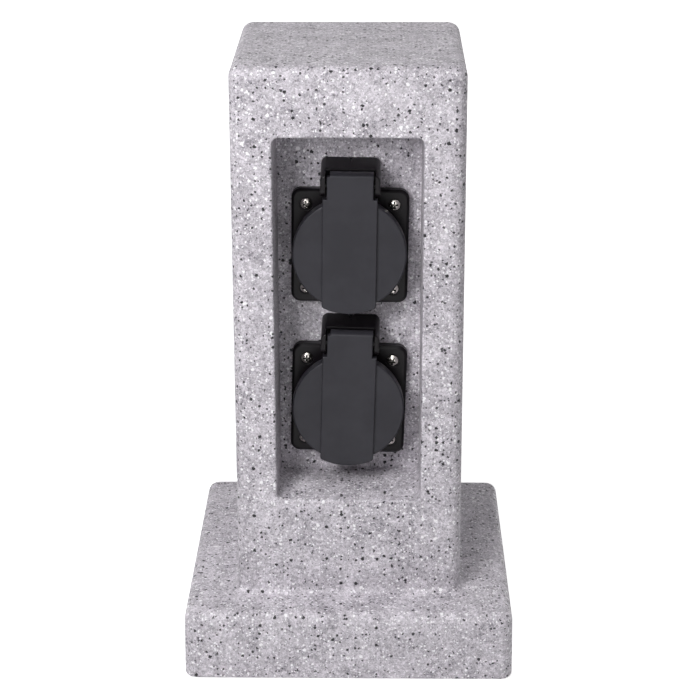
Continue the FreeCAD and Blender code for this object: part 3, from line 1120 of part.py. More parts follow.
make_housing()
make_base_plate()
make_plate_screws()
make_gland()
make_terminal_block()
for prefix in SOCKETS:
    make_gasket(prefix)
    make_socket_frame(prefix)
    make_flange_screws(prefix)
    make_lid(prefix)
    make_hinge(prefix)
    make_contact_insert(prefix)
    make_contacts(prefix)
    make_clamp_screws(prefix)
    make_rear_cover(prefix)
    make_centre_screw(prefix)
    make_wires(prefix)
doc.removeObject(gauge.Name)
doc.recompute()

# Nothing is written unless every object and every sub-part is sound
for item in doc.Objects:
    if "Invalid" in item.State or "Error" in item.State:
        raise RuntimeError("%s failed: %s" % (item.Name, item.State))
pieces = [item for item in doc.Objects
          if item.TypeId == "PartDesign::Body" or item.TypeId == "Part::Feature"]
os.makedirs("parts", exist_ok=True)
for piece in pieces:
    if piece.Shape.isNull() or not piece.Shape.isValid() or not piece.Shape.Solids:
        raise RuntimeError(piece.Label + " has no valid shape")
for piece in pieces:
    piece.Shape.exportStep("parts/%s.step" % piece.Label)
    print("%-26s %d solid(s), %10.1f mm3" % (piece.Label, len(piece.Shape.Solids),
                                             piece.Shape.Volume))
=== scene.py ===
"""Looks for a garden power outlet: a stone-look pillar with two sockets under flip lids."""
import json
import math

import bpy
from bpy.props import FloatProperty, FloatVectorProperty, IntProperty, PointerProperty
from mathutils import Matrix, Vector


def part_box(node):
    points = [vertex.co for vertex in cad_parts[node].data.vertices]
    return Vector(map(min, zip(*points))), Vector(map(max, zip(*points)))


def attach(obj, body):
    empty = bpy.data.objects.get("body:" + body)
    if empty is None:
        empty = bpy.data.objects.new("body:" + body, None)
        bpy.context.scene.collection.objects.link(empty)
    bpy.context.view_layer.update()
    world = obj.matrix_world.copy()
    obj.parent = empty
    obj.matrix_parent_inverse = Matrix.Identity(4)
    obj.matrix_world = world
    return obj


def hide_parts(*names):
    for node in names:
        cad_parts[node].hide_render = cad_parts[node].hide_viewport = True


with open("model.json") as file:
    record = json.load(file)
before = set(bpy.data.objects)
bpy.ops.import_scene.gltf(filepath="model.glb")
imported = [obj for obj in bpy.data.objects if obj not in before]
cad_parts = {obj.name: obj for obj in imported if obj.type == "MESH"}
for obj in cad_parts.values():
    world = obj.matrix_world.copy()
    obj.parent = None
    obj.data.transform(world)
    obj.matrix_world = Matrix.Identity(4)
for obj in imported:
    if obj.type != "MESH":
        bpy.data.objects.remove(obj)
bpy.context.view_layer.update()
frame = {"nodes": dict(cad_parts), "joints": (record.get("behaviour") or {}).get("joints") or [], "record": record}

bl_info = {
    "name": "Garden power outlet",
    "version": (1, 0, 0),
    "blender": (4, 5, 0),
    "location": "View3D > Sidebar > Outlet",
    "description": "Dresses the packed outlet: finishes, screws, springs, gland, stage",
    "category": "Object",
}

MM = 0.001
HINGES = {joint["child"].split("_")[0]: joint for joint in frame["joints"]}
SLOTS = {row["node"]: row["material_slot"] for row in frame["record"]["subparts"]}

# Which grains the stone has, from the first laid to the last: the setting that gives
# their spacing and how many times it is taken, the share of cells with a grain, the
# smallest and largest radius and the soft edge as shares of the spacing, the strength
# of the colour and the setting that gives it
GRAINS = (
    ("grain", 1.0, 0.50, 0.20, 0.44, 0.12, 0.90, "white"),
    ("grain", 2.1, 0.30, 0.14, 0.34, 0.08, 0.90, "white"),
    ("speck", 0.7, 0.22, 0.18, 0.40, 0.12, 0.50, "dark"),
    ("speck", 1.0, 0.20, 0.24, 0.42, 0.08, 0.94, "dark"),
    ("speck", 2.0, 0.36, 0.14, 0.28, 0.04, 0.98, "dark"))
# Cells of crushed stone: their size and how much their tones differ
CRUMBS = ((0.55 * MM, 0.48), (1.1 * MM, 0.32))
# How much the large and the small clouds change the tone
CLOUD_WEIGHT = 0.75
# How far the shapes of the grains are distorted, and the size of the distortion
WOBBLE = 1.3 * MM
WOBBLE_SIZE = 0.8 * MM
# Slot: the setting for its colour, roughness, shine, size and depth of the texture, and
# the radius of the edges as a share of the setting for it
PLASTICS = {
    "lid_plastic": ("lid", 0.42, 0.22, 0.32 * MM, 0.010 * MM, 1.6),
    "frame_plastic": ("frame", 0.34, 0.18, 0.40 * MM, 0.006 * MM, 1.0),
    "insert_plastic": ("insert", 0.45, 0.30, 0.35 * MM, 0.010 * MM, 1.0),
    "gland_plastic": ("gland", 0.40, 0.30, 0.30 * MM, 0.010 * MM, 1.0),
    "plate_plastic": ("plate", 0.55, 0.30, 0.55 * MM, 0.050 * MM, 1.0),
    "terminal_plastic": ("terminal", 0.38, 0.40, 0.40 * MM, 0.008 * MM, 1.0),
    "rubber": ("rubber", 0.72, 0.20, 0.25 * MM, 0.020 * MM, 0.5)}
# Slot: colour, roughness and spacing of the fine lines
METALS = {
    "chrome": ((0.84, 0.80, 0.75), 0.19, 0.30 * MM),
    "steel": ((0.56, 0.56, 0.57), 0.32, 0.22 * MM),
    "brass": ((0.80, 0.58, 0.26), 0.28, 0.25 * MM)}
# Metal is painted darker, as painted shade, where walls are nearer than this
SHADE_PAINT_REACH = 1.6 * MM
# Slot: colours of the insulation, the second one in bands
INSULATIONS = {
    "live_insulation": [(0.155, 0.055, 0.022)],
    "neutral_insulation": [(0.020, 0.085, 0.42)],
    "earth_insulation": [(0.06, 0.30, 0.04), (0.72, 0.62, 0.03)]}
# Edges sharper than this stay sharp on the pieces made here
SHARP_ANGLE = 35.0
# How fast the crown of a screw falls off towards its rim
CROWN_POWER = 2.4
# Where the lamps point, in metres
LAMP_TARGET = (0.0, -0.03, 0.17)
# Lamp: the setting for its power, side and distance in metres, degrees to the right of
# the front and degrees of height
LAMPS = {
    "key": ("key", 0.12, 0.45, -26.0, 27.0),
    "top": ("top", 1.2, 2.5, 0.0, 75.0),
    "side": ("side", 1.0, 2.2, -28.0, 45.0),
    "front": ("front", 1.0, 1.5, 0.0, 8.0),
    "back left": ("back", 1.2, 2.5, -130.0, 12.0),
    "back right": ("back", 1.2, 2.5, 130.0, 12.0)}
# Where the camera is, in millimetres, and how it is turned, in radians
CAMERA_PLACE = (12.548, -837.923, 444.944)
CAMERA_PITCH = 0.361
CAMERA_YAW = -0.015
CAMERA_ROLL = -0.002
SENSOR_WIDTH = 36.0
# Half the side of the floor, and between which distances its glow rises to full, in metres
FLOOR_HALF = 3.0
GLOW_START = 0.25
GLOW_END = 1.2


# Values that a user would change

def length(name, description, default):
    """A length in metres."""
    return FloatProperty(name=name, description=description, default=default,
                         subtype="DISTANCE", unit="LENGTH", precision=5)


def share(name, description, default):
    """A number from 0 to 1."""
    return FloatProperty(name=name, description=description, default=default, min=0.0,
                         max=1.0, subtype="FACTOR")


def colour(name, description, default):
    """A linear colour."""
    return FloatVectorProperty(name=name, description=description, default=default,
                               subtype="COLOR", size=3, min=0.0, max=1.0)


class StoneLook(bpy.types.PropertyGroup):
    """The moulded granite look of the shell"""

    light: colour("Light", "Lightest colour of the ground", (0.86, 0.815, 0.875))
    deep: colour("Deep", "Deepest colour of the ground", (0.20, 0.185, 0.213))
    white: colour("White grains", "Colour of the light grains", (0.96, 0.95, 0.97))
    dark: colour("Dark grains", "Colour of the dark grains", (0.022, 0.020, 0.023))
    grain: length("Grain", "Spacing of the white grains", 1.3 * MM)
    speck: length("Speck", "Spacing of the dark specks", 1.6 * MM)
    patch: length("Patch", "Size of the clouds", 15 * MM)
    roughness: share("Roughness", "Roughness of the surface", 0.52)


class PlasticLook(bpy.types.PropertyGroup):
    """The moulded plastics"""

    lid: colour("Lid", "Colour of the lids", (0.026, 0.025, 0.031))
    frame: colour("Socket", "Colour of socket frames and rear covers",
                  (0.0060, 0.0048, 0.0062))
    insert: colour("Insert", "Colour of the contact inserts", (0.020, 0.020, 0.022))
    gland: colour("Gland", "Colour of the cable gland", (0.016, 0.016, 0.018))
    plate: colour("Plate", "Colour of the base plate", (0.042, 0.042, 0.045))
    terminal: colour("Terminal", "Colour of the terminal block", (0.72, 0.70, 0.64))
    rubber: colour("Rubber", "Colour of gaskets and seals", (0.012, 0.012, 0.012))
    edge: length("Edge", "Radius of the moulded edges", 0.25 * MM)


class FixingSizes(bpy.types.PropertyGroup):
    """The screws in the flanges"""

    pitch: length("Pitch", "Flange screws, centre to centre both ways", 38 * MM)
    head: length("Head", "Radius of a flange screw's head", 2.45 * MM)
    rise: length("Rise", "Height of a flange screw's head", 1.7 * MM)
    dome: length("Dome", "How much of that height is the crown", 1.0 * MM)
    shank: length("Shank", "Radius of a flange screw's shank", 1.5 * MM)
    arm: length("Arm", "Half length of the cross recess", 1.6 * MM)
    slot: length("Slot", "Width of the cross recess", 0.84 * MM)
    depth: length("Depth", "Depth of the cross recess", 1.2 * MM)
    seed: IntProperty(name="Seed", description="Which way each recess is turned", default=4)


class SpringSizes(bpy.types.PropertyGroup):
    """The springs that close the lids"""

    wire: length("Wire", "Diameter of the wire", 0.6 * MM)
    radius: length("Radius", "Outside radius of the turns", 2.2 * MM)
    turns: IntProperty(name="Turns", description="Number of turns", default=13, min=1)


class StageLook(bpy.types.PropertyGroup):
    """Floor, lamps and camera"""

    key: FloatProperty(name="Key lamp", description="Power of the near lamp on the left",
                       default=0.94, subtype="POWER", unit="POWER")
    top: FloatProperty(name="Top lamp", description="Power of the high soft lamp",
                       default=19.0, subtype="POWER", unit="POWER")
    side: FloatProperty(name="Side lamp", description="Power of the far lamp on the left",
                        default=13.0, subtype="POWER", unit="POWER")
    front: FloatProperty(name="Front lamp", description="Power of the weak lamp in front",
                         default=2.0, subtype="POWER", unit="POWER")
    back: FloatProperty(name="Back lamps", description="Power of each lamp behind",
                        default=10.0, subtype="POWER", unit="POWER")
    fill: FloatProperty(name="Room light", description="Strength of the even room light",
                        default=0.03, min=0.0)
    floor: colour("Floor", "Colour of the floor", (0.86, 0.86, 0.86))
    lens: FloatProperty(name="Lens", description="Focal length of the camera",
                        default=101.57 * MM, subtype="DISTANCE_CAMERA", unit="CAMERA")


# Node trees

class Nodes:
    """Adds nodes to a tree and links them; an input is a value or another node's output."""

    def __init__(self, tree):
        self.tree = tree

    def add(self, kind, inputs=None, **settings):
        node = self.tree.nodes.new(kind)
        for name, value in settings.items():
            setattr(node, name, value)
        for name, value in (inputs or {}).items():
            self.put(node.inputs[name], value)
        return node

    def put(self, socket, value):
        if isinstance(value, bpy.types.NodeSocket):
            self.tree.links.new(value, socket)
        else:
            socket.default_value = value

    def math(self, operation, *values):
        node = self.add("ShaderNodeMath", operation=operation)
        for socket, value in zip(node.inputs, values):
            self.put(socket, value)
        return node.outputs[0]

    def vector(self, operation, first, second, output="Vector"):
        node = self.add("ShaderNodeVectorMath", {0: first}, operation=operation)
        if operation == "SCALE":
            self.put(node.inputs["Scale"], second)
        else:
            self.put(node.inputs[1], second)
        return node.outputs[output]

    def blend(self, factor, low, high):
        """Low where the factor is 0, high where it is 1."""
        node = self.add("ShaderNodeMix", data_type="RGBA", clamp_factor=True)
        for index, value in ((0, factor), (6, low), (7, high)):
            if isinstance(value, (tuple, list)):
                value = (*value, 1.0)
            self.put(node.inputs[index], value)
        return node.outputs[2]

    def ramp(self, value, start, end, low=0.0, high=1.0):
        """A smooth change from low to high as the value goes from start to end."""
        node = self.add("ShaderNodeMapRange", {
            "Value": value, "From Min": start, "From Max": end, "To Min": low,
            "To Max": high}, interpolation_type="SMOOTHSTEP")
        return node.outputs[0]

    def noise(self, vector, size, detail=2.0, rough=0.5):
        """Cloudy noise whose features are about that many metres across."""
        return self.add("ShaderNodeTexNoise", {
            "Vector": vector, "Scale": 1.0 / size, "Detail": detail, "Roughness": rough})


def new_material(name, roughness, metallic=0.0):
    """A material with a plain shader: its nodes, the shader and the object's coordinates."""
    material = bpy.data.materials.new(name)
    material.use_nodes = True
    nodes = Nodes(material.node_tree)
    shader = material.node_tree.nodes["Principled BSDF"]
    shader.inputs["Roughness"].default_value = roughness
    shader.inputs["Metallic"].default_value = metallic
    place = nodes.add("ShaderNodeTexCoord").outputs["Object"]
    return material, nodes, shader, place


def relief(nodes, shader, height, depth, edge=0.0):
    """Bump of that depth in metres, over edges that are softened by a small radius."""
    bump = nodes.add("ShaderNodeBump", {"Height": height, "Strength": 1.0,
                                        "Distance": depth})
    if edge:
        soft = nodes.add("ShaderNodeBevel", {"Radius": edge}, samples=6)
        nodes.put(bump.inputs["Normal"], soft.outputs[0])
    nodes.put(shader.inputs["Normal"], bump.outputs[0])


def assign(slot_name, material):
    """Gives every packed node of that slot its material."""
    for node, name in SLOTS.items():
        if name == slot_name:
            mesh = frame["nodes"][node].data
            mesh.materials.clear()
            mesh.materials.append(material)


def finish_of(node):
    """The material that a packed node was given."""
    return frame["nodes"][node].data.materials[0]


# Finishes

def grains(nodes, place, spacing, amount, smallest, largest, edge):
    """Scattered grains: 1 inside a grain, 0 between. Sizes are shares of the spacing."""
    cells = nodes.add("ShaderNodeTexVoronoi", {"Vector": place, "Scale": 1.0 / spacing,
                                               "Randomness": 1.0}, feature="F1")
    chance = nodes.add("ShaderNodeSeparateColor", {0: cells.outputs["Color"]})
    size = nodes.ramp(chance.outputs[0], 1.0 - amount, 1.0, smallest, largest)
    present = nodes.math("GREATER_THAN", chance.outputs[0], 1.0 - amount)
    inner = nodes.math("SUBTRACT", size, edge)
    mask = nodes.ramp(cells.outputs["Distance"], inner, size, 1.0, 0.0)
    return nodes.math("MULTIPLY", mask, present)


def crumbs(nodes, place, size, weight):
    """Cells of random tone about zero, as crushed stone has them."""
    cells = nodes.add("ShaderNodeTexVoronoi", {"Vector": place, "Scale": 1.0 / size},
                      feature="F1")
    tone = nodes.add("ShaderNodeSeparateColor", {0: cells.outputs["Color"]}).outputs[1]
    return nodes.math("MULTIPLY", nodes.math("SUBTRACT", tone, 0.5), weight)


def stone_material(look):
    """Light grey crushed stone with clouds, white grains and scattered dark specks."""
    material, nodes, shader, place = new_material("stone_look", look.roughness)
    shader.inputs["Specular IOR Level"].default_value = 0.2
    wobble = nodes.noise(place, WOBBLE_SIZE, 2.0)
    shift = nodes.vector("SCALE", nodes.vector("SUBTRACT", wobble.outputs["Color"],
                                               (0.5, 0.5, 0.5)), WOBBLE)
    rough_place = nodes.vector("ADD", place, shift)

    clouds = nodes.noise(place, look.patch, 3.0, 0.6).outputs[0]
    mottle = nodes.noise(place, look.patch / 5, 3.0, 0.65).outputs[0]
    tone = nodes.math("ADD", *(crumbs(nodes, rough_place, size, weight)
                               for size, weight in CRUMBS))
    for cloud in (clouds, mottle):
        lift = nodes.math("MULTIPLY", nodes.math("SUBTRACT", cloud, 0.5), CLOUD_WEIGHT)
        tone = nodes.math("ADD", tone, lift)
    colour_now = nodes.blend(nodes.math("ADD", tone, 0.5), tuple(look.deep),
                             tuple(look.light))
    for setting, times, amount, smallest, largest, edge, strength, target in GRAINS:
        spacing = getattr(look, setting) * times
        mask = grains(nodes, rough_place, spacing, amount, smallest, largest, edge)
        colour_now = nodes.blend(nodes.math("MULTIPLY", mask, strength), colour_now,
                                 tuple(getattr(look, target)))
    nodes.put(shader.inputs["Base Color"], colour_now)
    nodes.put(shader.inputs["Roughness"],
              nodes.ramp(mottle, 0.3, 0.7, look.roughness - 0.06, look.roughness + 0.08))
    relief(nodes, shader, nodes.noise(place, 1.3 * MM, 2.0).outputs[0], 0.05 * MM, 0.4 * MM)
    return material


def moulded_material(name, tone, roughness, shine, texture, depth, edge):
    """Moulded plastic: a fine even texture and slight changes of tone and gloss."""
    material, nodes, shader, place = new_material(name, roughness)
    shader.inputs["Specular IOR Level"].default_value = shine
    slow = nodes.noise(place, 14 * MM, 3.0, 0.6).outputs[0]
    light = tuple(min(1.0, 1.10 * part) for part in tone)
    deep = tuple(0.90 * part for part in tone)
    nodes.put(shader.inputs["Base Color"],
              nodes.blend(nodes.ramp(slow, 0.35, 0.65), deep, light))
    nodes.put(shader.inputs["Roughness"],
              nodes.ramp(slow, 0.3, 0.7, roughness + 0.04, roughness - 0.04))
    relief(nodes, shader, nodes.noise(place, texture, 2.0, 0.6).outputs[0], depth, edge)
    return material


def metal_material(name, tone, roughness, brush):
    """Plated or drawn metal: faint fine lines, small changes of gloss, and painted shade in hollows."""
    material, nodes, shader, place = new_material(name, roughness, 1.0)
    drawn = nodes.add("ShaderNodeMapping", {"Vector": place,
                                            "Scale": (1.0, 1.0, 0.08)}).outputs[0]
    lines = nodes.noise(drawn, brush, 2.0, 0.6).outputs[0]
    bright = tuple(min(1.0, 1.06 * part) for part in tone)
    dull = tuple(0.88 * part for part in tone)
    # Painted shade: ambient occlusion darkens the colour and lowers the metallic share where walls are near, as in
    # the screws' cross recesses
    shade_occlusion = nodes.add("ShaderNodeAmbientOcclusion", {"Distance": SHADE_PAINT_REACH}, samples=8)
    unshaded_share = nodes.ramp(shade_occlusion.outputs["AO"], 0.50, 0.88)
    nodes.put(shader.inputs["Base Color"],
              nodes.blend(unshaded_share, tuple(0.04 * part for part in tone),
                          nodes.blend(nodes.ramp(lines, 0.3, 0.7), dull, bright)))
    nodes.put(shader.inputs["Metallic"], unshaded_share)
    shader.inputs["Specular IOR Level"].default_value = 0.1
    nodes.put(shader.inputs["Roughness"],
              nodes.ramp(lines, 0.3, 0.7, roughness + 0.05, roughness - 0.03))
    relief(nodes, shader, lines, 0.004 * MM, 0.12 * MM)
    return material


def insulation_material(name, tones):
    """Wire insulation; two tones make bands across the wire."""
    material, nodes, shader, place = new_material(name, 0.42)
    slow = nodes.noise(place, 6 * MM, 2.0).outputs[0]
    base = nodes.blend(nodes.ramp(slow, 0.3, 0.7), tuple(0.92 * part for part in tones[0]),
                       tones[0])
    if len(tones) > 1:
        bands = nodes.add("ShaderNodeTexWave", {
            "Vector": place, "Scale": 90.0, "Distortion": 0.6, "Detail": 0.0},
            wave_type="BANDS", bands_direction="DIAGONAL").outputs[1]
        base = nodes.blend(nodes.ramp(bands, 0.46, 0.54), base, tones[1])
    nodes.put(shader.inputs["Base Color"], base)
    relief(nodes, shader, nodes.noise(place, 0.3 * MM, 1.0).outputs[0], 0.01 * MM)
    return material


class OUTLET_OT_stone(bpy.types.Operator):
    """Give the shell its granite look"""

    bl_idname = "outlet.stone"
    bl_label = "Stone look"

    def execute(self, context):
        assign("stone_look", stone_material(context.scene.outlet_stone))
        return {"FINISHED"}


class OUTLET_OT_plastics(bpy.types.Operator):
    """Give lids, sockets, gland, base plate and seals their plastic and rubber finishes"""

    bl_idname = "outlet.plastics"
    bl_label = "Plastics"

    def execute(self, context):
        look = context.scene.outlet_plastic
        for name, (setting, roughness, shine, texture, depth, rounding) in PLASTICS.items():
            tone = tuple(getattr(look, setting))
            assign(name, moulded_material(name, tone, roughness, shine, texture, depth,
                                          look.edge * rounding))
        return {"FINISHED"}


class OUTLET_OT_metals(bpy.types.Operator):
    """Give screws, springs, contacts and earth straps their metal finishes"""

    bl_idname = "outlet.metals"
    bl_label = "Metals"

    def execute(self, context):
        for name, (tone, roughness, brush) in METALS.items():
            assign(name, metal_material(name, tone, roughness, brush))
        return {"FINISHED"}


class OUTLET_OT_wires(bpy.types.Operator):
    """Give the inner wires brown, blue and green-yellow insulation"""

    bl_idname = "outlet.wires"
    bl_label = "Wires"

    def execute(self, context):
        for name, tones in INSULATIONS.items():
            assign(name, insulation_material(name, tones))
        return {"FINISHED"}


# Pieces

def hinge_frame(side):
    """A socket's own axes, from its hinge: x to the right, y up, z towards the user."""
    joint = HINGES[side]
    right = -Vector(joint["axis"])
    out = Vector((0.0, -1.0, 0.0))
    up = out.cross(right)
    matrix = Matrix((right, up, out)).transposed().to_4x4()
    matrix.translation = Vector(joint["pos_m"])
    return matrix


def new_tree(name, fields):
    """A geometry tree with those inputs: name, socket kind and default."""
    tree = bpy.data.node_groups.new(name, "GeometryNodeTree")
    tree.interface.new_socket("Geometry", in_out="OUTPUT", socket_type="NodeSocketGeometry")
    tree.interface.new_socket("Geometry", in_out="INPUT", socket_type="NodeSocketGeometry")
    for label, kind, default in fields:
        socket = tree.interface.new_socket(label, in_out="INPUT", socket_type=kind)
        if default is not None:
            socket.default_value = default
    return tree


def grow(name, tree, points, values, matrix, material):
    """Runs the tree on a mesh of points and returns its result as a plain mesh object."""
    seed_mesh = bpy.data.meshes.new(name + "_points")
    seed_mesh.from_pydata(points, [], [])
    seed = bpy.data.objects.new(name + "_points", seed_mesh)
    bpy.context.scene.collection.objects.link(seed)
    modifier = seed.modifiers.new("Tree", "NODES")
    modifier.node_group = tree
    for item in tree.interface.items_tree:
        if item.in_out == "INPUT" and item.name in values:
            modifier[item.identifier] = values[item.name]
    graph = bpy.context.evaluated_depsgraph_get()
    mesh = bpy.data.meshes.new_from_object(seed.evaluated_get(graph), depsgraph=graph)
    seed.modifiers.remove(modifier)
    bpy.data.objects.remove(seed)
    if not mesh.polygons:
        raise RuntimeError(name + " came out empty")
    mesh.name = name
    mesh.transform(matrix)
    mesh.materials.clear()
    mesh.materials.append(material)
    mesh.polygons.foreach_set("use_smooth", [True] * len(mesh.polygons))
    mesh.set_sharp_from_angle(angle=math.radians(SHARP_ANGLE))
    piece = bpy.data.objects.new(name, mesh)
    bpy.context.scene.collection.objects.link(piece)
    return piece


def screw_tree(material):
    """A crowned screw with a cross recess, set on every point and turned at random."""
    fields = [(label, "NodeSocketFloat", None) for label in (
        "Head Radius", "Head Height", "Crown", "Shank Radius", "Shank Length", "Arm",
        "Slot", "Depth")]
    tree = new_tree("screws", fields + [("Seed", "NodeSocketInt", 0)])
    nodes = Nodes(tree)
    given = nodes.add("NodeGroupInput").outputs
    rim = nodes.math("SUBTRACT", given["Head Height"], given["Crown"])
    disc = nodes.add("GeometryNodeMeshCylinder", {
        "Vertices": 40, "Side Segments": 1, "Fill Segments": 7,
        "Radius": given["Head Radius"], "Depth": rim}, fill_type="TRIANGLE_FAN")
    # The crown falls off with a power of the distance from the middle
    spot = nodes.add("GeometryNodeInputPosition").outputs[0]
    parts = nodes.add("ShaderNodeSeparateXYZ", {0: spot}).outputs
    away = nodes.math("SQRT", nodes.math("ADD", nodes.math("MULTIPLY", parts[0], parts[0]),
                                         nodes.math("MULTIPLY", parts[1], parts[1])))
    near = nodes.math("DIVIDE", away, given["Head Radius"])
    bow = nodes.math("SUBTRACT", 1.0, nodes.math("POWER", near, CROWN_POWER))
    top = nodes.math("GREATER_THAN", parts[2], 0.0)
    rise = nodes.math("MULTIPLY", nodes.math("MULTIPLY", bow, top), given["Crown"])
    lifted = nodes.add("ShaderNodeCombineXYZ", {
        "Z": nodes.math("ADD", rise, nodes.math("DIVIDE", rim, 2.0))})
    head = nodes.add("GeometryNodeSetPosition", {"Geometry": disc.outputs["Mesh"],
                                                 "Offset": lifted.outputs[0]})
    # The cross recess: two bars that reach from its floor to above the crown
    reach = nodes.math("MULTIPLY", given["Arm"], 2.0)
    tall = nodes.math("MULTIPLY", given["Depth"], 2.0)
    floor = nodes.add("ShaderNodeCombineXYZ", {"Z": given["Head Height"]})
    tool = nodes.add("GeometryNodeMeshBoolean", operation="UNION", solver="EXACT")
    for sizes in ((reach, given["Slot"]), (given["Slot"], reach)):
        size = nodes.add("ShaderNodeCombineXYZ", {"X": sizes[0], "Y": sizes[1], "Z": tall})
        bar = nodes.add("GeometryNodeMeshCube", {"Size": size.outputs[0]})
        tree.links.new(bar.outputs["Mesh"], tool.inputs["Mesh 2"])
    placed = nodes.add("GeometryNodeTransform", {"Geometry": tool.outputs["Mesh"],
                                                 "Translation": floor.outputs[0]})
    cut = nodes.add("GeometryNodeMeshBoolean", {
        "Mesh 1": head.outputs[0], "Mesh 2": placed.outputs[0]}, operation="DIFFERENCE",
        solver="EXACT")
    shank = nodes.add("GeometryNodeMeshCylinder", {
        "Vertices": 24, "Radius": given["Shank Radius"], "Depth": given["Shank Length"]})
    # A little less than half its length down, so that it overlaps the head
    down = nodes.add("ShaderNodeCombineXYZ", {
        "Z": nodes.math("MULTIPLY", given["Shank Length"], -0.499)})
    shank = nodes.add("GeometryNodeTransform", {"Geometry": shank.outputs["Mesh"],
                                                "Translation": down.outputs[0]})
    whole = nodes.add("GeometryNodeMeshBoolean", operation="UNION", solver="EXACT")
    for part in (shank, cut):
        tree.links.new(part.outputs[0], whole.inputs["Mesh 2"])
    turn = nodes.add("FunctionNodeRandomValue", {"Seed": given["Seed"]},
                     data_type="FLOAT_VECTOR")
    turn.inputs[0].default_value = (0.0, 0.0, 0.0)
    turn.inputs[1].default_value = (0.0, 0.0, math.pi / 2)
    spread = nodes.add("GeometryNodeInstanceOnPoints", {
        "Points": given["Geometry"], "Instance": whole.outputs[0],
        "Rotation": turn.outputs[0]})
    solid = nodes.add("GeometryNodeRealizeInstances", {0: spread.outputs[0]})
    painted = nodes.add("GeometryNodeSetMaterial", {"Geometry": solid.outputs[0],
                                                    "Material": material})
    nodes.add("NodeGroupOutput", {0: painted.outputs[0]})
    return tree


class OUTLET_OT_flange_screws(bpy.types.Operator):
    """Make the crowned cross-head screws in the corners of both flanges"""

    bl_idname = "outlet.flange_screws"
    bl_label = "Flange screws"

    def execute(self, context):
        sizes = context.scene.outlet_fixing
        material = finish_of("upper_flange_screws")
        tree = screw_tree(material)
        for index, side in enumerate(HINGES):
            node = side + "_flange_screws"
            low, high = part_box(node)
            place = hinge_frame(side)
            seat = place.translation.y - low.y - sizes.rise
            centre = (low + high) / 2
            middle = place.inverted() @ Vector((centre.x, place.translation.y, centre.z))
            half = sizes.pitch / 2
            points = [(middle.x + across * half, middle.y + up * half, seat)
                      for across in (-1, 1) for up in (-1, 1)]
            values = {"Head Radius": sizes.head, "Head Height": sizes.rise,
                      "Crown": sizes.dome, "Shank Radius": sizes.shank,
                      "Shank Length": high.y - low.y - sizes.rise, "Arm": sizes.arm,
                      "Slot": sizes.slot, "Depth": sizes.depth, "Seed": sizes.seed + index}
            piece = grow(node + "_crowned", tree, points, values, place, material)
            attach(piece, "pillar")
            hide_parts(node)
        return {"FINISHED"}


def spring_tree(material):
    """A wound torsion spring along z with one leg at each end."""
    tree = new_tree("spring", [(label, "NodeSocketFloat", None) for label in (
        "Wire", "Radius", "Length", "Turns", "Back Leg", "Down Leg")])
    nodes = Nodes(tree)
    given = nodes.add("NodeGroupInput").outputs
    middle = nodes.math("SUBTRACT", given["Radius"], nodes.math("DIVIDE", given["Wire"], 2.0))
    height = nodes.math("SUBTRACT", given["Length"], given["Wire"])
    coil = nodes.add("GeometryNodeCurveSpiral", {
        "Resolution": 24, "Rotations": given["Turns"], "Start Radius": middle,
        "End Radius": middle, "Height": height})
    section = nodes.add("GeometryNodeCurvePrimitiveCircle", {
        "Resolution": 10, "Radius": nodes.math("DIVIDE", given["Wire"], 2.0)})
    joined = nodes.add("GeometryNodeJoinGeometry")
    minus = nodes.math("MULTIPLY", middle, -1.0)
    legs = (({"Y": minus}, {"X": given["Back Leg"], "Y": minus}),
            ({"X": middle, "Z": height},
             {"X": middle, "Y": nodes.math("MULTIPLY", given["Down Leg"], -1.0),
              "Z": height}))
    curves = [coil]
    for start, end in legs:
        ends = [nodes.add("ShaderNodeCombineXYZ", point).outputs[0] for point in (start, end)]
        curves.append(nodes.add("GeometryNodeCurvePrimitiveLine",
                                {"Start": ends[0], "End": ends[1]}))
    for curve in curves:
        wire = nodes.add("GeometryNodeCurveToMesh", {
            "Curve": curve.outputs[0], "Profile Curve": section.outputs[0],
            "Fill Caps": True})
        tree.links.new(wire.outputs[0], joined.inputs[0])
    solid = nodes.add("GeometryNodeRealizeInstances", {0: joined.outputs[0]})
    painted = nodes.add("GeometryNodeSetMaterial", {"Geometry": solid.outputs[0],
                                                    "Material": material})
    nodes.add("NodeGroupOutput", {0: painted.outputs[0]})
    return tree


class OUTLET_OT_lid_springs(bpy.types.Operator):
    """Wind the springs that close the lids"""

    bl_idname = "outlet.lid_springs"
    bl_label = "Lid springs"

    def execute(self, context):
        sizes = context.scene.outlet_spring
        material = finish_of("upper_lid_spring")
        tree = spring_tree(material)
        for side in HINGES:
            node = side + "_lid_spring"
            low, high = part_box(node)
            place = hinge_frame(side)
            start = (place.inverted() @ Vector((low.x, place.translation.y,
                                                place.translation.z))).x
            # The spring's own axes: z along the pin, x back to the panel, y up
            turn = Matrix(((0, 0, 1), (0, 1, 0), (-1, 0, 0))).to_4x4()
            turn.translation = Vector((start + sizes.wire / 2, 0.0, 0.0))
            values = {"Wire": sizes.wire, "Radius": sizes.radius,
                      "Length": high.x - low.x, "Turns": float(sizes.turns),
                      "Back Leg": high.y - place.translation.y,
                      "Down Leg": place.translation.z - low.z}
            piece = grow(node + "_wound", tree, [(0.0, 0.0, 0.0)], values, place @ turn,
                         material)
            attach(piece, "pillar")
            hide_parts(node)
        return {"FINISHED"}


# Stage

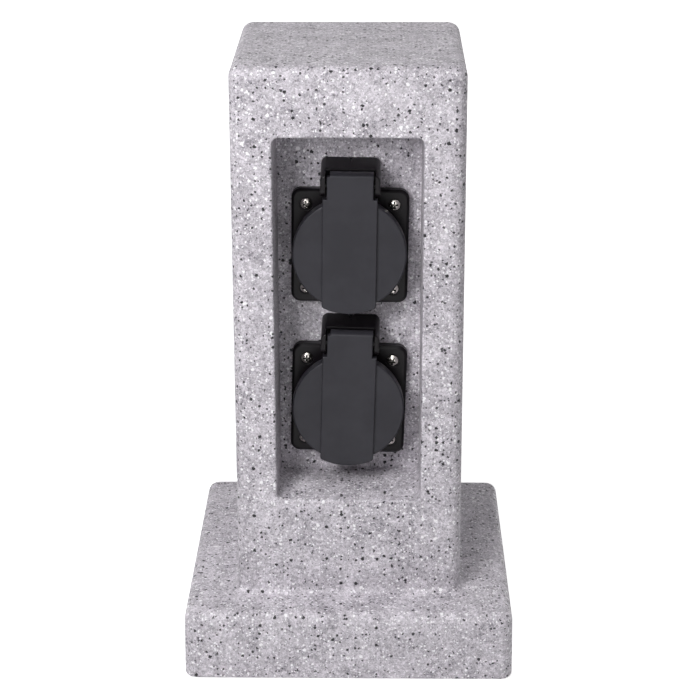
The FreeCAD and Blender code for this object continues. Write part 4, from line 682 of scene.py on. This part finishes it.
class OUTLET_OT_stage(bpy.types.Operator):
    """Set up the floor, the soft lamps, the white room and the camera"""

    bl_idname = "outlet.stage"
    bl_label = "Stage"

    def execute(self, context):
        look = context.scene.outlet_stage
        self.make_floor(look)
        self.make_room(context, look)
        self.make_lamps(look)
        self.make_camera(context, look)
        context.scene.view_settings.view_transform = "Standard"
        return {"FINISHED"}

    def make_floor(self, look):
        """A pale floor, white to the camera, that keeps the shadow and is clear from below."""
        half = FLOOR_HALF
        mesh = bpy.data.meshes.new("floor")
        mesh.from_pydata([(-half, -half, 0), (half, -half, 0), (half, half, 0),
                          (-half, half, 0)], [], [(0, 1, 2, 3)])
        floor = bpy.data.objects.new("floor", mesh)
        bpy.context.scene.collection.objects.link(floor)
        material, nodes, shader, place = new_material("floor", 0.9)
        shader.inputs["Base Color"].default_value = (*look.floor, 1.0)
        shader.inputs["Specular IOR Level"].default_value = 0.1
        # The glow is full away from the object, where there is no shadow to keep
        away = nodes.vector("LENGTH", place, (0.0, 0.0, 0.0), "Value")
        glow = nodes.add("ShaderNodeEmission", {
            "Color": (1.0, 1.0, 1.0, 1.0),
            "Strength": nodes.ramp(away, GLOW_START, GLOW_END, 0.80, 1.0)})
        both = nodes.add("ShaderNodeAddShader", {0: shader.outputs[0], 1: glow.outputs[0]})
        seen = self.seen_directly(nodes)
        pick = nodes.add("ShaderNodeMixShader", {0: seen, 1: shader.outputs[0],
                                                 2: both.outputs[0]})
        below = nodes.add("ShaderNodeNewGeometry").outputs["Backfacing"]
        clear = nodes.add("ShaderNodeBsdfTransparent")
        sided = nodes.add("ShaderNodeMixShader", {0: below, 1: pick.outputs[0],
                                                  2: clear.outputs[0]})
        nodes.put(material.node_tree.nodes["Material Output"].inputs[0], sided.outputs[0])
        mesh.materials.append(material)

    def seen_directly(self, nodes):
        """1 for a ray from the camera, a reflection or through glass."""
        path = nodes.add("ShaderNodeLightPath").outputs
        shiny = nodes.math("MAXIMUM", path["Is Glossy Ray"], path["Is Transmission Ray"])
        return nodes.math("MAXIMUM", path["Is Camera Ray"], shiny)

    def make_room(self, context, look):
        """An even room light with a white background."""
        world = bpy.data.worlds.new("room")
        context.scene.world = world
        world.use_nodes = True
        nodes = Nodes(world.node_tree)
        back = world.node_tree.nodes["Background"]
        back.inputs["Color"].default_value = (1.0, 1.0, 1.0, 1.0)
        seen = self.seen_directly(nodes)
        strength = nodes.add("ShaderNodeMix", {0: seen, 2: look.fill, 3: 1.0},
                             data_type="FLOAT")
        nodes.put(back.inputs["Strength"], strength.outputs[0])

    def make_lamps(self, look):
        """A near lamp throws the shadows; large ones soften them and light the back."""
        target = Vector(LAMP_TARGET)
        for name, (setting, size, distance, across, height) in LAMPS.items():
            data = bpy.data.lights.new(name, "AREA")
            data.energy = getattr(look, setting)
            data.size = size
            turn, rise = math.radians(across), math.radians(height)
            away = Vector((math.sin(turn) * math.cos(rise), -math.cos(turn) * math.cos(rise),
                           math.sin(rise)))
            lamp = bpy.data.objects.new(name, data)
            lamp.location = target + away * distance
            lamp.rotation_euler = away.to_track_quat("Z", "Y").to_euler()
            bpy.context.scene.collection.objects.link(lamp)

    def make_camera(self, context, look):
        """The camera looks down on the front from a little above the top."""
        data = bpy.data.cameras.new("camera")
        data.sensor_width = SENSOR_WIDTH
        data.lens = look.lens / MM
        data.clip_start = 0.01
        camera = bpy.data.objects.new("camera", data)
        pitch, yaw, roll = CAMERA_PITCH, CAMERA_YAW, CAMERA_ROLL
        forward = Vector((math.sin(yaw) * math.cos(pitch), math.cos(yaw) * math.cos(pitch),
                          -math.sin(pitch)))
        level = Vector((math.cos(yaw), -math.sin(yaw), 0.0))
        upright = level.cross(forward)
        right = level * math.cos(roll) + upright * math.sin(roll)
        up = upright * math.cos(roll) - level * math.sin(roll)
        matrix = Matrix((right, up, -forward)).transposed().to_4x4()
        matrix.translation = Vector(CAMERA_PLACE) * MM
        camera.matrix_world = matrix
        context.scene.collection.objects.link(camera)
        context.scene.camera = camera


class OUTLET_PT_panel(bpy.types.Panel):
    """Everything in the order in which it is made"""

    bl_idname = "OUTLET_PT_panel"
    bl_label = "Garden power outlet"
    bl_space_type = "VIEW_3D"
    bl_region_type = "UI"
    bl_category = "Outlet"

    def draw(self, context):
        layout = self.layout
        for name, group in SETTINGS.items():
            settings = getattr(context.scene, name)
            layout.label(text=group.__doc__)
            for field in group.__annotations__:
                layout.prop(settings, field)
        for operator in OPERATORS:
            layout.operator(operator.bl_idname)


SETTINGS = {"outlet_stone": StoneLook, "outlet_plastic": PlasticLook,
            "outlet_fixing": FixingSizes, "outlet_spring": SpringSizes,
            "outlet_stage": StageLook}
OPERATORS = (OUTLET_OT_stone, OUTLET_OT_plastics, OUTLET_OT_metals, OUTLET_OT_wires,
             OUTLET_OT_flange_screws, OUTLET_OT_lid_springs, OUTLET_OT_stage)


def register():
    for group in (*SETTINGS.values(), *OPERATORS, OUTLET_PT_panel):
        bpy.utils.register_class(group)
    for name, group in SETTINGS.items():
        setattr(bpy.types.Scene, name, PointerProperty(type=group))


def unregister():
    for name in SETTINGS:
        delattr(bpy.types.Scene, name)
    for group in (OUTLET_PT_panel, *OPERATORS, *SETTINGS.values()):
        bpy.utils.unregister_class(group)


def main():
    register()
    bpy.ops.outlet.stone()
    bpy.ops.outlet.plastics()
    bpy.ops.outlet.metals()
    bpy.ops.outlet.wires()
    bpy.ops.outlet.flange_screws()
    bpy.ops.outlet.lid_springs()
    bpy.ops.outlet.stage()
    bpy.context.view_layer.update()


if __name__ == "__main__":
    main()
